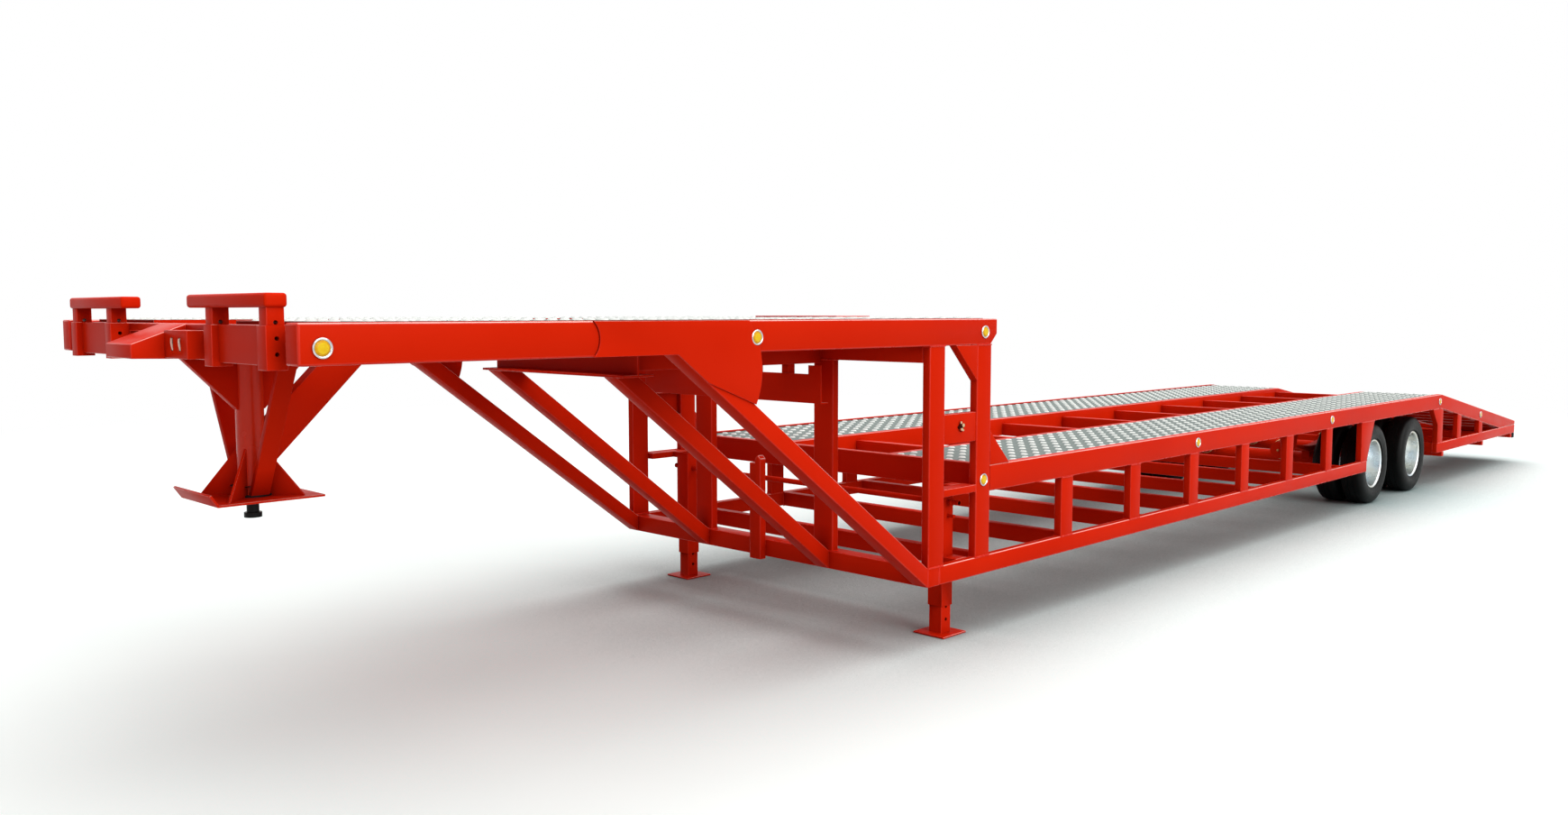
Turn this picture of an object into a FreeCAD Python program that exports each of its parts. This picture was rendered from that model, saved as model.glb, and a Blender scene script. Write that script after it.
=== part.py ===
"""Gooseneck car-transporter semi-trailer: welded steel frame, two steel runways, tandem dual wheels.

X runs forward to the coupling, Y to the trailer's left, Z up from the ground, all in millimetres.
Heights are above the ground. Places along the trailer are given from the front face of the neck
posts, where the raised neck meets the low deck: `ahead` towards the coupling, `behind` to the tail.
"""
import FreeCAD
import Part
import math
import os
import Sketcher

doc = FreeCAD.newDocument("car_transporter_semi_trailer")
sheet = doc.addObject("Spreadsheet::Sheet", "sizes")

# name, millimetres
SIZES = (
    # the whole trailer
    ("frame_width", 2574), ("nose_length", 3563), ("tail_length", 11893),
    # neck: side beams, their doubler plates and the frame between them
    ("beam_front", 3405), ("beam_rear", 622), ("beam_top", 1800), ("beam_depth", 145),
    ("beam_width", 100), ("beam_wall", 6), ("beam_chamfer", 60),
    ("doubler_front", 2210), ("doubler_rear", 1344), ("doubler_tip", 1301), ("doubler_ledge", 1594),
    ("doubler_rear_arc", 353), ("doubler_front_arc", 100), ("doubler_plate", 8),
    ("neck_member_width", 60), ("neck_member_depth", 108), ("neck_member_pitch", 500),
    ("neck_member_count", 8), ("neck_member_last", 578), ("stringer_inner", 450), ("stringer_width", 50),
    ("stringer_depth", 110), ("header_depth", 90), ("header_width", 100),
    ("tray_front", 280), ("tray_lip", 60), ("tray_half", 755), ("tray_bottom", 1335), ("tray_ledge", 1496),
    ("tray_slot_inner", 300), ("tray_slot_outer", 660), ("tray_hanger_foot", 1400),
    ("sheet_wall", 6), ("seat_gap", 0.3), ("brace_member_bottom", 1520),
    ("bridge_rear", 610), ("bridge_front", 300), ("bridge_half", 350),
    # nose: crossmember, wheel-stop sockets, wedge and air-line box
    ("nose_member_depth", 75), ("nose_member_rise", 140), ("socket_size", 75), ("socket_wall", 6),
    ("socket_front", 3430), ("socket_bottom", 1635), ("socket_top", 1790),
    ("stop_post", 62.4), ("stop_inner", 565), ("stop_outer", 1045), ("stop_post_bottom", 1640),
    ("stop_bar_bottom", 1852), ("stop_bar_top", 1902), ("stop_bar_length", 720), ("stop_bar_depth", 80),
    ("stop_hole", 16), ("stop_hole_pitch", 55), ("stop_bar_shift", 77), ("socket_set_back", 25),
    ("wedge_half", 145), ("wedge_front_bottom", 1655), ("wedge_front_top", 1712),
    ("air_box_left", 385), ("air_box_front", 3440), ("air_slot_width", 24), ("air_slot_height", 52),
    # coupling: standard two-inch kingpin on its plate, tube and braces
    ("kingpin_ahead", 3060), ("coupler_bottom", 1045), ("coupler_plate", 10), ("coupler_rear", 2830),
    ("coupler_front", 3279), ("coupler_half", 200), ("lip_forward", 34), ("lip_rise", 50),
    ("kingpin_drop", 84), ("kingpin_neck", 25.4), ("kingpin_shoulder", 36.5),
    ("pin_disc", 85), ("pin_disc_plate", 8), ("tube_radius", 57.15), ("tube_wall", 8),
    ("coupler_gusset", 225), ("coupler_gusset_rise", 205), ("gusset_plate", 10),
    ("rear_brace_half", 36), ("side_brace_width", 75), ("side_brace_plate", 30), ("side_brace_lean", 331),
    ("web_half", 22), ("web_rear", 2800), ("web_front", 3335), ("web_bottom", 1425), ("rear_brace_foot", 1108),
    ("rear_brace_depth", 205), ("king_frame_half", 440), ("kingpin_collar", 21),
    # neck posts and sloping braces
    ("post_depth", 135), ("post_width", 50), ("rear_post", 433), ("inner_post_place", 517),
    ("inner_post_width", 150), ("brace_width", 100), ("brace_depth", 85), ("outer_brace_slope", 0.7385),
    ("inner_brace_slope", 0.76),
    ("centre_post_width", 95), ("centre_post_plate", 50), ("centre_post_top", 925), ("centre_post_drop", 15),
    ("brace_member_rear", 1345), ("brace_member_front", 1540), ("brace_member_half", 620),
    # truss sides: sill, deck rail and posts
    ("sill_bottom", 350), ("sill_depth", 105), ("sill_width", 50), ("sill_rear", 6700),
    ("sill_wall", 5), ("rail_top", 970), ("rail_depth", 150), ("rail_plate", 8),
    ("truss_first", 1338), ("truss_pitch", 868), ("truss_post", 135), ("truss_count", 6),
    ("truss_last", 6546), ("arch_lean", 176), ("gusset_under", 200), ("gusset_over", 192),
    # low deck
    ("peak", 8910), ("tail_end_top", 500), ("member_depth", 100),
    ("member_width", 60), ("member_first", 1410), ("member_pitch", 925), ("member_count", 9),
    ("runway_inner", 500), ("runway_depth", 40), ("runway_plate", 5), ("inner_rail_drop", 10),
    ("cross_tube", 60), ("floor_member_first", 545), ("floor_member_count", 7),
    # tail
    ("tail_frame_front", 8812), ("tail_post_a", 9513), ("tail_post_b", 10346), ("tail_post", 171),
    ("tail_member_last", 718), ("tail_member_pitch", 415), ("tail_member_count", 6), ("bumper_depth", 60),
    ("carrier_depth", 50), ("carrier_place", 1060),
    # drop legs and ladders between the neck posts
    ("leg_behind", 370), ("leg_place", 1090), ("leg_sleeve", 100), ("leg_sleeve_wall", 6),
    ("leg_sleeve_bottom", 165), ("leg_sleeve_top", 870), ("leg_tube", 87.4), ("leg_tube_wall", 6),
    ("leg_tube_top", 860), ("foot_size", 215), ("foot_plate", 10), ("leg_pin", 10), ("leg_shaft", 17),
    ("leg_hole_first", 85), ("leg_hole_pitch", 75), ("leg_holes", 9), ("plunger_length", 45),
    ("leg_shaft_up", 760), ("ladder_riser_bottom", 1118), ("ladder_riser_top", 1280),
    ("ladder_step_bottom", 830), ("ladder_step_top", 870), ("ladder_step_depth", 95),
    # running gear
    ("front_axle", 7110), ("axle_spread", 1140), ("tyre_radius", 383), ("tyre_width", 215),
    ("tread_width", 178), ("outer_tyre_face", 1230), ("dual_spacing", 245), ("rim_radius", 228),
    ("axle_radius", 63.5), ("chamber_radius", 82), ("chamber_length", 150), ("chamber_place", 400),
    ("chamber_ahead", 120), ("chamber_band", 94), ("chamber_up", 90), ("spindle_radius", 38), ("hub_clearance", 3), ("hub_radius", 84),
    ("drum_radius", 180), ("spring_place", 590), ("spring_width", 75), ("spring_plates", 55),
    ("spring_reach", 500), ("spring_camber", 45), ("bogie_depth", 100), ("bogie_front", 6370),
    ("bogie_rear", 8990), ("hanger_plate", 12),
    ("axle_shoulder", 690), ("spindle_short", 55), ("hub_cap", 42), ("drum_inner", 705), ("drum_width", 170),
    ("rim_step", 5), ("disc_plate", 9), ("bead_half", 80), ("shoulder_high", 75), ("shoulder_low", 20),
    ("hand_hole", 24), ("hand_hole_circle", 150), ("hand_holes", 5), ("spring_seat", 15), ("spring_grip", 130),
    ("spring_leaf", 16), ("hanger_gap", 5), ("hanger_top", 220), ("hanger_foot", 90),
    # side marker lamps
    ("lamp_radius", 37), ("lamp_lens", 26), ("lamp_proud", 12),
)
for row, (word, number) in enumerate(SIZES, start=1):
    sheet.set("A%d" % row, word)
    sheet.set("B%d" % row, str(number))
    sheet.setAlias("B%d" % row, word)
doc.recompute()


# side marker lamps: place along from the neck posts (plus is ahead), the edge above, drop below it
LAMPS = ((3329, "beam_top", 85), (1292, "beam_top", 78), (-501, "beam_top", 73), (-501, "rail_top", 78),
         (-3183, "rail_top", 74), (-5785, "rail_top", 74), (-8845, "rail_top", 74), (-10382, "rail_top", 72))


class Size:
    """A size from the sheet, or a formula of such sizes, with the number that it gives now."""

    def __init__(self, text, number):
        self.text = text
        self.number = float(number)

    def __add__(self, other):
        other = as_size(other)
        return Size("(%s + %s)" % (self.text, other.text), self.number + other.number)

    def __radd__(self, other):
        return as_size(other) + self

    def __sub__(self, other):
        other = as_size(other)
        return Size("(%s - %s)" % (self.text, other.text), self.number - other.number)

    def __rsub__(self, other):
        return as_size(other) - self

    def __mul__(self, other):
        other = as_size(other)
        return Size("(%s * %s)" % (self.text, other.text), self.number * other.number)

    def __rmul__(self, other):
        return as_size(other) * self

    def __truediv__(self, other):
        other = as_size(other)
        return Size("(%s / %s)" % (self.text, other.text), self.number / other.number)

    def __neg__(self):
        return 0 - self


def as_size(value):
    """A plain number becomes a size that never changes."""
    return value if isinstance(value, Size) else Size("(%s)" % float(value), value)


def size(word):
    """The size that the sheet holds under this name."""
    return Size("sizes." + word, sheet.get(word))


def count(word):
    """A whole number from the sheet."""
    return int(sheet.get(word))


NECK = (size("tail_length") - size("nose_length")) / 2
HALF = size("frame_width") / 2
BEAM_TOP = size("beam_top")
BEAM_BOTTOM = BEAM_TOP - size("beam_depth")
SILL_BOTTOM = size("sill_bottom")
SILL_TOP = SILL_BOTTOM + size("sill_depth")
RAIL_TOP = size("rail_top")
RAIL_BOTTOM = RAIL_TOP - size("rail_depth")
INNER_RAIL_TOP = RAIL_TOP - size("inner_rail_drop")
SIDES = (("left", 1), ("right", -1))
exported = []


def ahead(distance):
    """A place this far ahead of the neck posts' front face."""
    return NECK + distance


def behind(distance):
    """A place this far behind the neck posts' front face."""
    return NECK - distance


def beside(sign, inner, outer):
    """The stretch across the trailer from inner to outer on one side: 1 is left, -1 is right."""
    return (as_size(inner), as_size(outer)) if sign > 0 else (-as_size(outer), -as_size(inner))


def across(half):
    """The stretch across the trailer that reaches as far to the left as to the right."""
    return (-as_size(half), as_size(half))


def box(name, along, sideways, upright):
    """A box between two places on each axis."""
    item = doc.addObject("Part::Box", name)
    for edge, axis, (low, high) in (("Length", "x", along), ("Width", "y", sideways), ("Height", "z", upright)):
        item.setExpression(edge, (as_size(high) - low).text)
        item.setExpression("Placement.Base." + axis, as_size(low).text)
    return item


def cut(name, base, tool):
    """The base less the tool."""
    item = doc.addObject("Part::Cut", name)
    item.Base = base
    item.Tool = tool
    return item


def tube(name, along, sideways, upright, wall, open_axis):
    """A rectangular tube, open at both ends of one axis."""
    outer = box(name + "_outer", along, sideways, upright)
    spans = {"x": along, "y": sideways, "z": upright}
    inner = [spans[axis] if axis == open_axis else (as_size(spans[axis][0]) + wall, as_size(spans[axis][1]) - wall)
             for axis in "xyz"]
    return cut(name, outer, box(name + "_bore", *inner))


def round_bar(name, radius, length, place, axis):
    """A round bar from a place, along +X, +Y or +Z."""
    item = doc.addObject("Part::Cylinder", name)
    item.setExpression("Radius", as_size(radius).text)
    item.setExpression("Height", as_size(length).text)
    turns = {"x": FreeCAD.Rotation(FreeCAD.Vector(0, 1, 0), 90), "z": FreeCAD.Rotation(),
             "y": FreeCAD.Rotation(FreeCAD.Vector(1, 0, 0), -90)}
    item.Placement = FreeCAD.Placement(FreeCAD.Vector(0, 0, 0), turns[axis])
    for word, value in zip("xyz", place):
        item.setExpression("Placement.Base." + word, as_size(value).text)
    return item


def sketch_on(body, role):
    """A new sketch on one of the body's own origin planes."""
    plane = [feature for feature in body.Origin.OriginFeatures if feature.Role == role][0]
    sketch = body.newObject("Sketcher::SketchObject", body.Name + "_outline")
    sketch.AttachmentSupport = [(plane, "")]
    sketch.MapMode = "FlatFace"
    return sketch


def draw(sketch, outline):
    """Close an outline of corners. A corner may carry a third value, the radius of the arc that
    follows it, which is negative where the arc bulges to the outline's right."""
    corners = [[as_size(value) for value in corner[:2]] for corner in outline]
    for index, corner in enumerate(outline):
        start = FreeCAD.Vector(corners[index][0].number, corners[index][1].number, 0)
        after = corners[(index + 1) % len(corners)]
        end = FreeCAD.Vector(after[0].number, after[1].number, 0)
        if len(corner) == 2:
            sketch.addGeometry(Part.LineSegment(start, end), False)
            sketch.addConstraint(Sketcher.Constraint("DistanceX", -1, 1, index, 1, start.x))
            sketch.setExpression("Constraints[%d]" % (sketch.ConstraintCount - 1), corners[index][0].text)
            sketch.addConstraint(Sketcher.Constraint("DistanceY", -1, 1, index, 1, start.y))
            sketch.setExpression("Constraints[%d]" % (sketch.ConstraintCount - 1), corners[index][1].text)
        else:
            chord = end - start
            bend = as_size(corner[2]).number
            radius = abs(bend)
            sagitta = radius - math.sqrt(radius * radius - chord.Length ** 2 / 4)
            side = FreeCAD.Vector(-chord.y, chord.x, 0).normalize() * math.copysign(sagitta, bend)
            sketch.addGeometry(Part.Arc(start, (start + end) / 2 + side, end), False)
    if all(len(corner) == 2 for corner in outline):
        for index in range(len(outline)):
            sketch.addConstraint(Sketcher.Constraint("Coincident", index, 2, (index + 1) % len(outline), 1))


def plate(name, outline, sideways):
    """A plate or bar cut to an outline of (along, up) corners, as wide as the stretch across."""
    body = doc.addObject("PartDesign::Body", name)
    sketch = sketch_on(body, "XZ_Plane")
    sketch.setExpression("AttachmentOffset.Base.z", (-as_size(sideways[0])).text)
    draw(sketch, outline)
    pad = body.newObject("PartDesign::Pad", name + "_pad")
    pad.Profile = sketch
    pad.Reversed = True
    pad.setExpression("Length", (as_size(sideways[1]) - sideways[0]).text)
    return body


def cross_plate(name, outline, along):
    """A plate cut to an outline of (across, up) corners, as thick as the stretch along the trailer."""
    body = doc.addObject("PartDesign::Body", name)
    sketch = sketch_on(body, "YZ_Plane")
    sketch.setExpression("AttachmentOffset.Base.z", as_size(along[0]).text)
    draw(sketch, outline)
    pad = body.newObject("PartDesign::Pad", name + "_pad")
    pad.Profile = sketch
    pad.setExpression("Length", (as_size(along[1]) - along[0]).text)
    return body


def turned(name, outline, place, sign=0):
    """A piece turned from an outline of (radius, along the axis) corners. The axis runs up, or
    across the trailer to the left where sign is 1, or to the right where it is -1."""
    body = doc.addObject("PartDesign::Body", name)
    sketch = sketch_on(body, "XZ_Plane")
    draw(sketch, outline)
    spin = body.newObject("PartDesign::Revolution", name + "_turn")
    spin.Profile = sketch
    spin.ReferenceAxis = (sketch, ["V_Axis"])
    spin.Angle = 360
    body.Placement.Rotation = FreeCAD.Rotation(FreeCAD.Vector(1, 0, 0), -90 * sign)
    for word, value in zip("xyz", place):
        body.setExpression("Placement.Base." + word, as_size(value).text)
    return body


def joined(name, pieces):
    """Pieces welded into one."""
    item = doc.addObject("Part::MultiFuse", name)
    item.Shapes = pieces
    item.Refine = True
    return item


def drilled(name, pieces, holes):
    """Pieces welded into one and then drilled."""
    tool = joined(name + "_drills", holes)
    tool.Refine = False
    return cut(name, joined(name + "_solid", pieces), tool)


def node(label, pieces):
    """One named sub-part of the trailer, made of one piece or of several."""
    if len(pieces) == 1:
        item = pieces[0]
    else:
        item = doc.addObject("Part::Compound", label + "_set")
        item.Links = pieces
    item.Label = label
    exported.append(item)


def neck_side_beams():
    """Box beams along both sides of the neck, with the lower rear corner cut off."""
    rear, front = behind(size("beam_rear")), ahead(size("beam_front"))
    chamfer = size("beam_chamfer")
    outline = ((rear, BEAM_TOP), (rear, BEAM_BOTTOM + chamfer), (rear + chamfer, BEAM_BOTTOM),
               (front, BEAM_BOTTOM), (front, BEAM_TOP))
    wall = size("beam_wall")
    pieces = []
    for side, sign in SIDES:
        sideways = beside(sign, HALF - size("beam_width"), HALF)
        bar = plate("neck_beam_outer_" + side, outline, sideways)
        bore = box("neck_beam_bore_" + side, (rear + 2 * chamfer, front),
                   (sideways[0] + wall, sideways[1] - wall), (BEAM_BOTTOM + wall, BEAM_TOP - wall))
        pieces.append(cut("neck_beam_hollow_" + side, bar, bore))
        pieces.append(box("neck_beam_cap_" + side, (front, front + wall), sideways, (BEAM_BOTTOM, BEAM_TOP)))
    node("neck_side_beams", pieces)


def brace_edges(word):
    """Slope of a brace and its upright depth, from its depth square to the slope."""
    slope = size(word + "_brace_slope")
    return slope, size("brace_depth") * math.sqrt(1 + slope.number ** 2)


def neck_doubler_plates():
    """Plates over each beam where the outer brace comes in, bowed at the front and the rear."""
    slope, upright = brace_edges("outer")
    front, tip, ledge = ahead(size("doubler_front")), size("doubler_tip"), size("doubler_ledge")
    run = (BEAM_BOTTOM - SILL_BOTTOM) / slope
    outline = ((front, BEAM_TOP), (ahead(size("doubler_rear")), BEAM_TOP, size("doubler_rear_arc") * -1),
               (ahead(tip), SILL_BOTTOM + tip * slope + upright), (ahead(ledge), SILL_BOTTOM + ledge * slope),
               (ahead(run), BEAM_BOTTOM), (front, BEAM_BOTTOM, size("doubler_front_arc")))
    pieces = []
    for side, sign in SIDES:
        skin = plate("doubler_plate_" + side, outline, beside(sign, HALF, HALF + size("doubler_plate")))
        start = beside(sign, HALF, HALF + size("doubler_plate"))[0]
        hole = round_bar("doubler_lamp_hole_" + side, size("lamp_radius") + size("seat_gap"), size("doubler_plate"),
                         (ahead(LAMPS[1][0]), start, size(LAMPS[1][1]) - LAMPS[1][2]), "y")
        pieces.append(cut("doubler_" + side, skin, hole))
    node("neck_doubler_plates", pieces)


def neck_crossmembers():
    """Channels across the neck between its side beams."""
    pieces = []
    for index in range(count("neck_member_count")):
        rear = behind(size("neck_member_last")) + index * size("neck_member_pitch")
        top = BEAM_BOTTOM + size("neck_member_depth")
        outer = box("neck_member_%d" % index, (rear, rear + size("neck_member_width")),
                    across(HALF - size("beam_width")), (BEAM_BOTTOM, top))
        pocket = box("neck_member_pocket_%d" % index,
                     (rear + size("sheet_wall"), rear + size("neck_member_width")),
                     across(HALF - size("beam_width")), (BEAM_BOTTOM + size("sheet_wall"), top - size("sheet_wall")))
        pieces.append(cut("neck_member_channel_%d" % index, outer, pocket))
    node("neck_crossmembers", pieces)


def neck_headers():
    """The header over the neck posts, the I-beam that takes the inner braces and two bars between them."""
    header = box("header", (behind(size("header_width")), NECK), across(HALF - size("post_width")),
                 (BEAM_BOTTOM - size("header_depth"), BEAM_BOTTOM))
    rear, front = ahead(size("brace_member_rear")), ahead(size("brace_member_front"))
    low, wall = size("brace_member_bottom"), 2 * size("sheet_wall")
    middle = (rear + front) / 2
    beam = box("brace_member", (rear, front), across(size("brace_member_half")), (low, BEAM_BOTTOM))
    for word, along in (("front", (middle + wall / 2, front)), ("rear", (rear, middle - wall / 2))):
        side = box("brace_member_%s_pocket" % word, along, across(size("brace_member_half")),
                   (low + wall, BEAM_BOTTOM - wall))
        beam = cut("brace_member_%s_cut" % word, beam, side)
    inner = size("stringer_inner")
    bars = [box("stringer_" + side, (NECK, rear), beside(sign, inner, inner + size("stringer_width")),
                (BEAM_BOTTOM - size("stringer_depth"), BEAM_BOTTOM)) for side, sign in SIDES]
    node("neck_headers", [header, beam] + bars)


def strap_tray():
    """Shallow tray for straps and chains across the neck: a notched front sheet and a bottom lip."""
    wall, half, lip = size("sheet_wall"), size("tray_half"), size("tray_lip")
    low, ledge, high = size("tray_bottom"), size("tray_ledge"), BEAM_BOTTOM - size("stringer_depth")
    inner, outer = size("tray_slot_inner"), size("tray_slot_outer")
    front = ahead(size("tray_front"))
    right = [(half, low), (half, high), (outer, high), (outer, ledge), (inner, ledge), (inner, high)]
    outline = right + [(-across_at, up) for across_at, up in reversed(right)]
    pieces = [cross_plate("tray_front_sheet", outline, (front - wall, front)),
              box("tray_bottom_lip", (front - lip, front - wall), across(half), (low, low + wall))]
    for side, sign in SIDES:
        pieces.append(box("tray_hanger_" + side, (front - lip, front - wall),
                          beside(sign, size("stringer_inner"), size("stringer_inner") + size("stringer_width")),
                          (size("tray_hanger_foot"), high)))
    node("strap_tray", [joined("strap_tray_welded", pieces)])


def runway_pan(name, top_line, sideways):
    """A pressed deck plank with its edges folded down, along a line of (along, up) corners."""
    depth, sheet_plate = size("runway_depth"), size("runway_plate")
    under = [(along, up - depth) for along, up in reversed(top_line)]
    outer = plate(name + "_outer", list(top_line) + under, sideways)
    roof = [(along, up - sheet_plate) for along, up in top_line]
    floor = [(along, up - 2 * depth) for along, up in reversed(top_line)]
    hollow = plate(name + "_under", roof + floor, (sideways[0] + sheet_plate, sideways[1] - sheet_plate))
    return cut(name, outer, hollow)


def neck_runways():
    """The steel runways of the upper deck, on the neck crossmembers."""
    top = BEAM_BOTTOM + size("neck_member_depth") + size("runway_depth")
    front = ahead(size("socket_front")) - size("socket_size") - size("nose_member_depth")
    line = ((behind(size("beam_rear")), top), (front, top))
    pieces = [runway_pan("neck_runway_" + side, line,
                         beside(sign, size("stringer_inner"), HALF - size("beam_width"))) for side, sign in SIDES]
    node("neck_runways", pieces)
    floor = top - size("runway_depth")
    rear, ahead_edge = behind(size("bridge_rear")), behind(size("bridge_front"))
    half, wall = size("bridge_half"), size("sheet_wall")
    bridge = [box("bridge_plate", (rear, ahead_edge), across(half), (top, top + 2 * wall))]
    for side, sign in SIDES:
        bridge.append(box("bridge_bearer_" + side, (rear, ahead_edge), beside(sign, half - 2 * wall, half),
                          (floor, top)))
    node("neck_bridge_plate", [joined("bridge_welded", bridge)])


def nose_member():
    """The front crossmember, open to the front between the sockets of the two wheel stops."""
    rear = ahead(size("socket_front")) - size("socket_size") - size("nose_member_depth")
    front = rear + size("nose_member_depth")
    top = size("socket_top")
    low = top - size("nose_member_rise")
    outer = box("nose_member_outer", (rear, front), across(HALF - size("beam_width")), (low, top))
    lip = 4 * size("sheet_wall")
    recess = box("nose_member_recess", (rear + size("sheet_wall"), front),
                 across(size("stop_inner") - size("socket_size") / 2), (low + lip, top - 1.5 * lip))
    node("nose_crossmember", [cut("nose_member", outer, recess)])


def stop_holes(name, heights, sideways):
    """Pin holes right across a wheel stop's posts or sockets, one at each height."""
    middle = ahead(size("socket_front")) - size("socket_size") / 2
    return [round_bar("%s_%d" % (name, index), size("stop_hole") / 2, sideways[1] - sideways[0],
                      (middle, sideways[0], height), "y") for index, height in enumerate(heights)]


def wheel_stops():
    """Two adjustable wheel stops: a bar on two pinned posts that slide in sockets on the nose."""
    front = ahead(size("socket_front"))
    middle = front - size("socket_size") / 2
    post, socket = size("stop_post") / 2, size("socket_size") / 2
    low, high = size("socket_bottom"), size("socket_top")
    pitch = size("stop_hole_pitch")
    heights = (low + pitch, low + 2 * pitch, low + 3 * pitch)
    welded = []
    for side, sign in SIDES:
        reach = beside(sign, size("stop_inner") - socket, size("stop_outer") + socket)
        pieces = [tube("socket_%s_%s" % (word, side), (front - size("socket_size"), front),
                       beside(sign, size(place) - socket, size(place) + socket), (low, high),
                       size("socket_wall"), "z") for word, place in (("inner", "stop_inner"), ("outer", "stop_outer"))]
        pieces.append(box("socket_tie_" + side, (front - size("socket_size"), front - size("socket_set_back")),
                          beside(sign, size("stop_inner") + socket, size("stop_outer") - socket),
                          (high - size("nose_member_rise"), high)))
        welded.append(drilled("stop_sockets_" + side, pieces, stop_holes("socket_hole_" + side, heights[:2], reach)))
        centre = (size("stop_inner") + size("stop_outer")) / 2 - size("stop_bar_shift")
        bar = box("stop_bar_" + side, (middle - size("stop_bar_depth") / 2, middle + size("stop_bar_depth") / 2),
                  beside(sign, centre - size("stop_bar_length") / 2, centre + size("stop_bar_length") / 2),
                  (size("stop_bar_bottom"), size("stop_bar_top")))
        pieces = [bar]
        for word, place in (("inner", "stop_inner"), ("outer", "stop_outer")):
            pieces.append(box("stop_post_%s_%s" % (word, side), (middle - post, middle + post),
                              beside(sign, size(place) - post, size(place) + post),
                              (size("stop_post_bottom"), size("stop_bar_bottom"))))
        node("wheel_stop_" + side, [drilled("wheel_stop_drilled_" + side, pieces,
                                            stop_holes("stop_hole_" + side, heights, reach))])
    node("wheel_stop_sockets", welded)


def nose_wedge():
    """The sloping nose between the wheel stops and the box with two slots for the air lines."""
    rear = ahead(size("socket_front")) - size("socket_size")
    top = size("socket_top")
    low = top - size("nose_member_rise")
    tip = ahead(size("nose_length"))
    half = size("wedge_half")
    outline = ((rear, low), (tip, size("wedge_front_bottom")), (tip, size("wedge_front_top")), (rear, top))
    node("nose_wedge", [plate("nose_wedge_bar", outline, across(half))])
    wall, front = size("sheet_wall"), ahead(size("air_box_front"))
    box_low, box_high = low + wall, top - 4 * wall
    sideways = (half, size("air_box_left"))
    outer = box("air_box_outer", (rear, front), sideways, (box_low, box_high))
    inner = box("air_box_inner", (rear, front - wall), (half + wall, size("air_box_left") - wall),
                (box_low + wall, box_high - wall))
    shell = cut("air_box", outer, inner)
    slot_low = (box_low + box_high - size("air_slot_height")) / 2
    third = (sideways[1] - sideways[0]) / 3
    for index in (1, 2):
        left = sideways[0] + index * third - size("air_slot_width") / 2
        slot = box("air_slot_%d" % index, (front - 2 * wall, front), (left, left + size("air_slot_width")),
                   (slot_low, slot_low + size("air_slot_height")))
        shell = cut("air_box_slot_%d" % index, shell, slot)
    node("air_line_box", [shell])


KINGPIN = ahead(size("kingpin_ahead"))
COUPLER_TOP = size("coupler_bottom") + size("coupler_plate")


def coupler():
    """Coupler plate with its lip turned up at the front, the kingpin in it, and the tube above."""
    low, thick = size("coupler_bottom"), size("coupler_plate")
    front, rear = ahead(size("coupler_front")), ahead(size("coupler_rear"))
    run, rise = size("lip_forward"), size("lip_rise")
    outline = ((rear, low), (front, low), (front + run, low + rise), (front + run - thick, low + rise + thick / 2),
               (front - thick / 2, low + thick), (rear, low + thick))
    flat = plate("coupler_flat", outline, across(size("coupler_half")))
    bore = round_bar("coupler_bore", size("kingpin_shoulder") + size("seat_gap"), thick, (KINGPIN, 0, low), "z")
    node("coupler_plate", [cut("coupler_plate_bored", flat, bore)])
    shoulder, neck, drop = size("kingpin_shoulder"), size("kingpin_neck"), size("kingpin_drop")
    disc, collar = size("pin_disc"), size("kingpin_collar")
    disc_top = thick + size("pin_disc_plate")
    pin = ((0, disc_top), (0, -drop), (shoulder, -drop), (shoulder, collar - drop), (neck, collar - drop),
           (neck, -collar), (shoulder, -collar), (shoulder, thick), (disc, thick), (disc, disc_top))
    node("kingpin", [turned("kingpin_turned", pin, (KINGPIN, 0, low))])
    base = COUPLER_TOP + size("pin_disc_plate")
    outer = round_bar("king_tube_outer", size("tube_radius"), BEAM_BOTTOM - base, (KINGPIN, 0, base), "z")
    inner = round_bar("king_tube_bore", size("tube_radius") - size("tube_wall"), BEAM_BOTTOM - base,
                      (KINGPIN, 0, base), "z")
    node("king_tube", [cut("king_tube_cut", outer, inner)])


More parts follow.
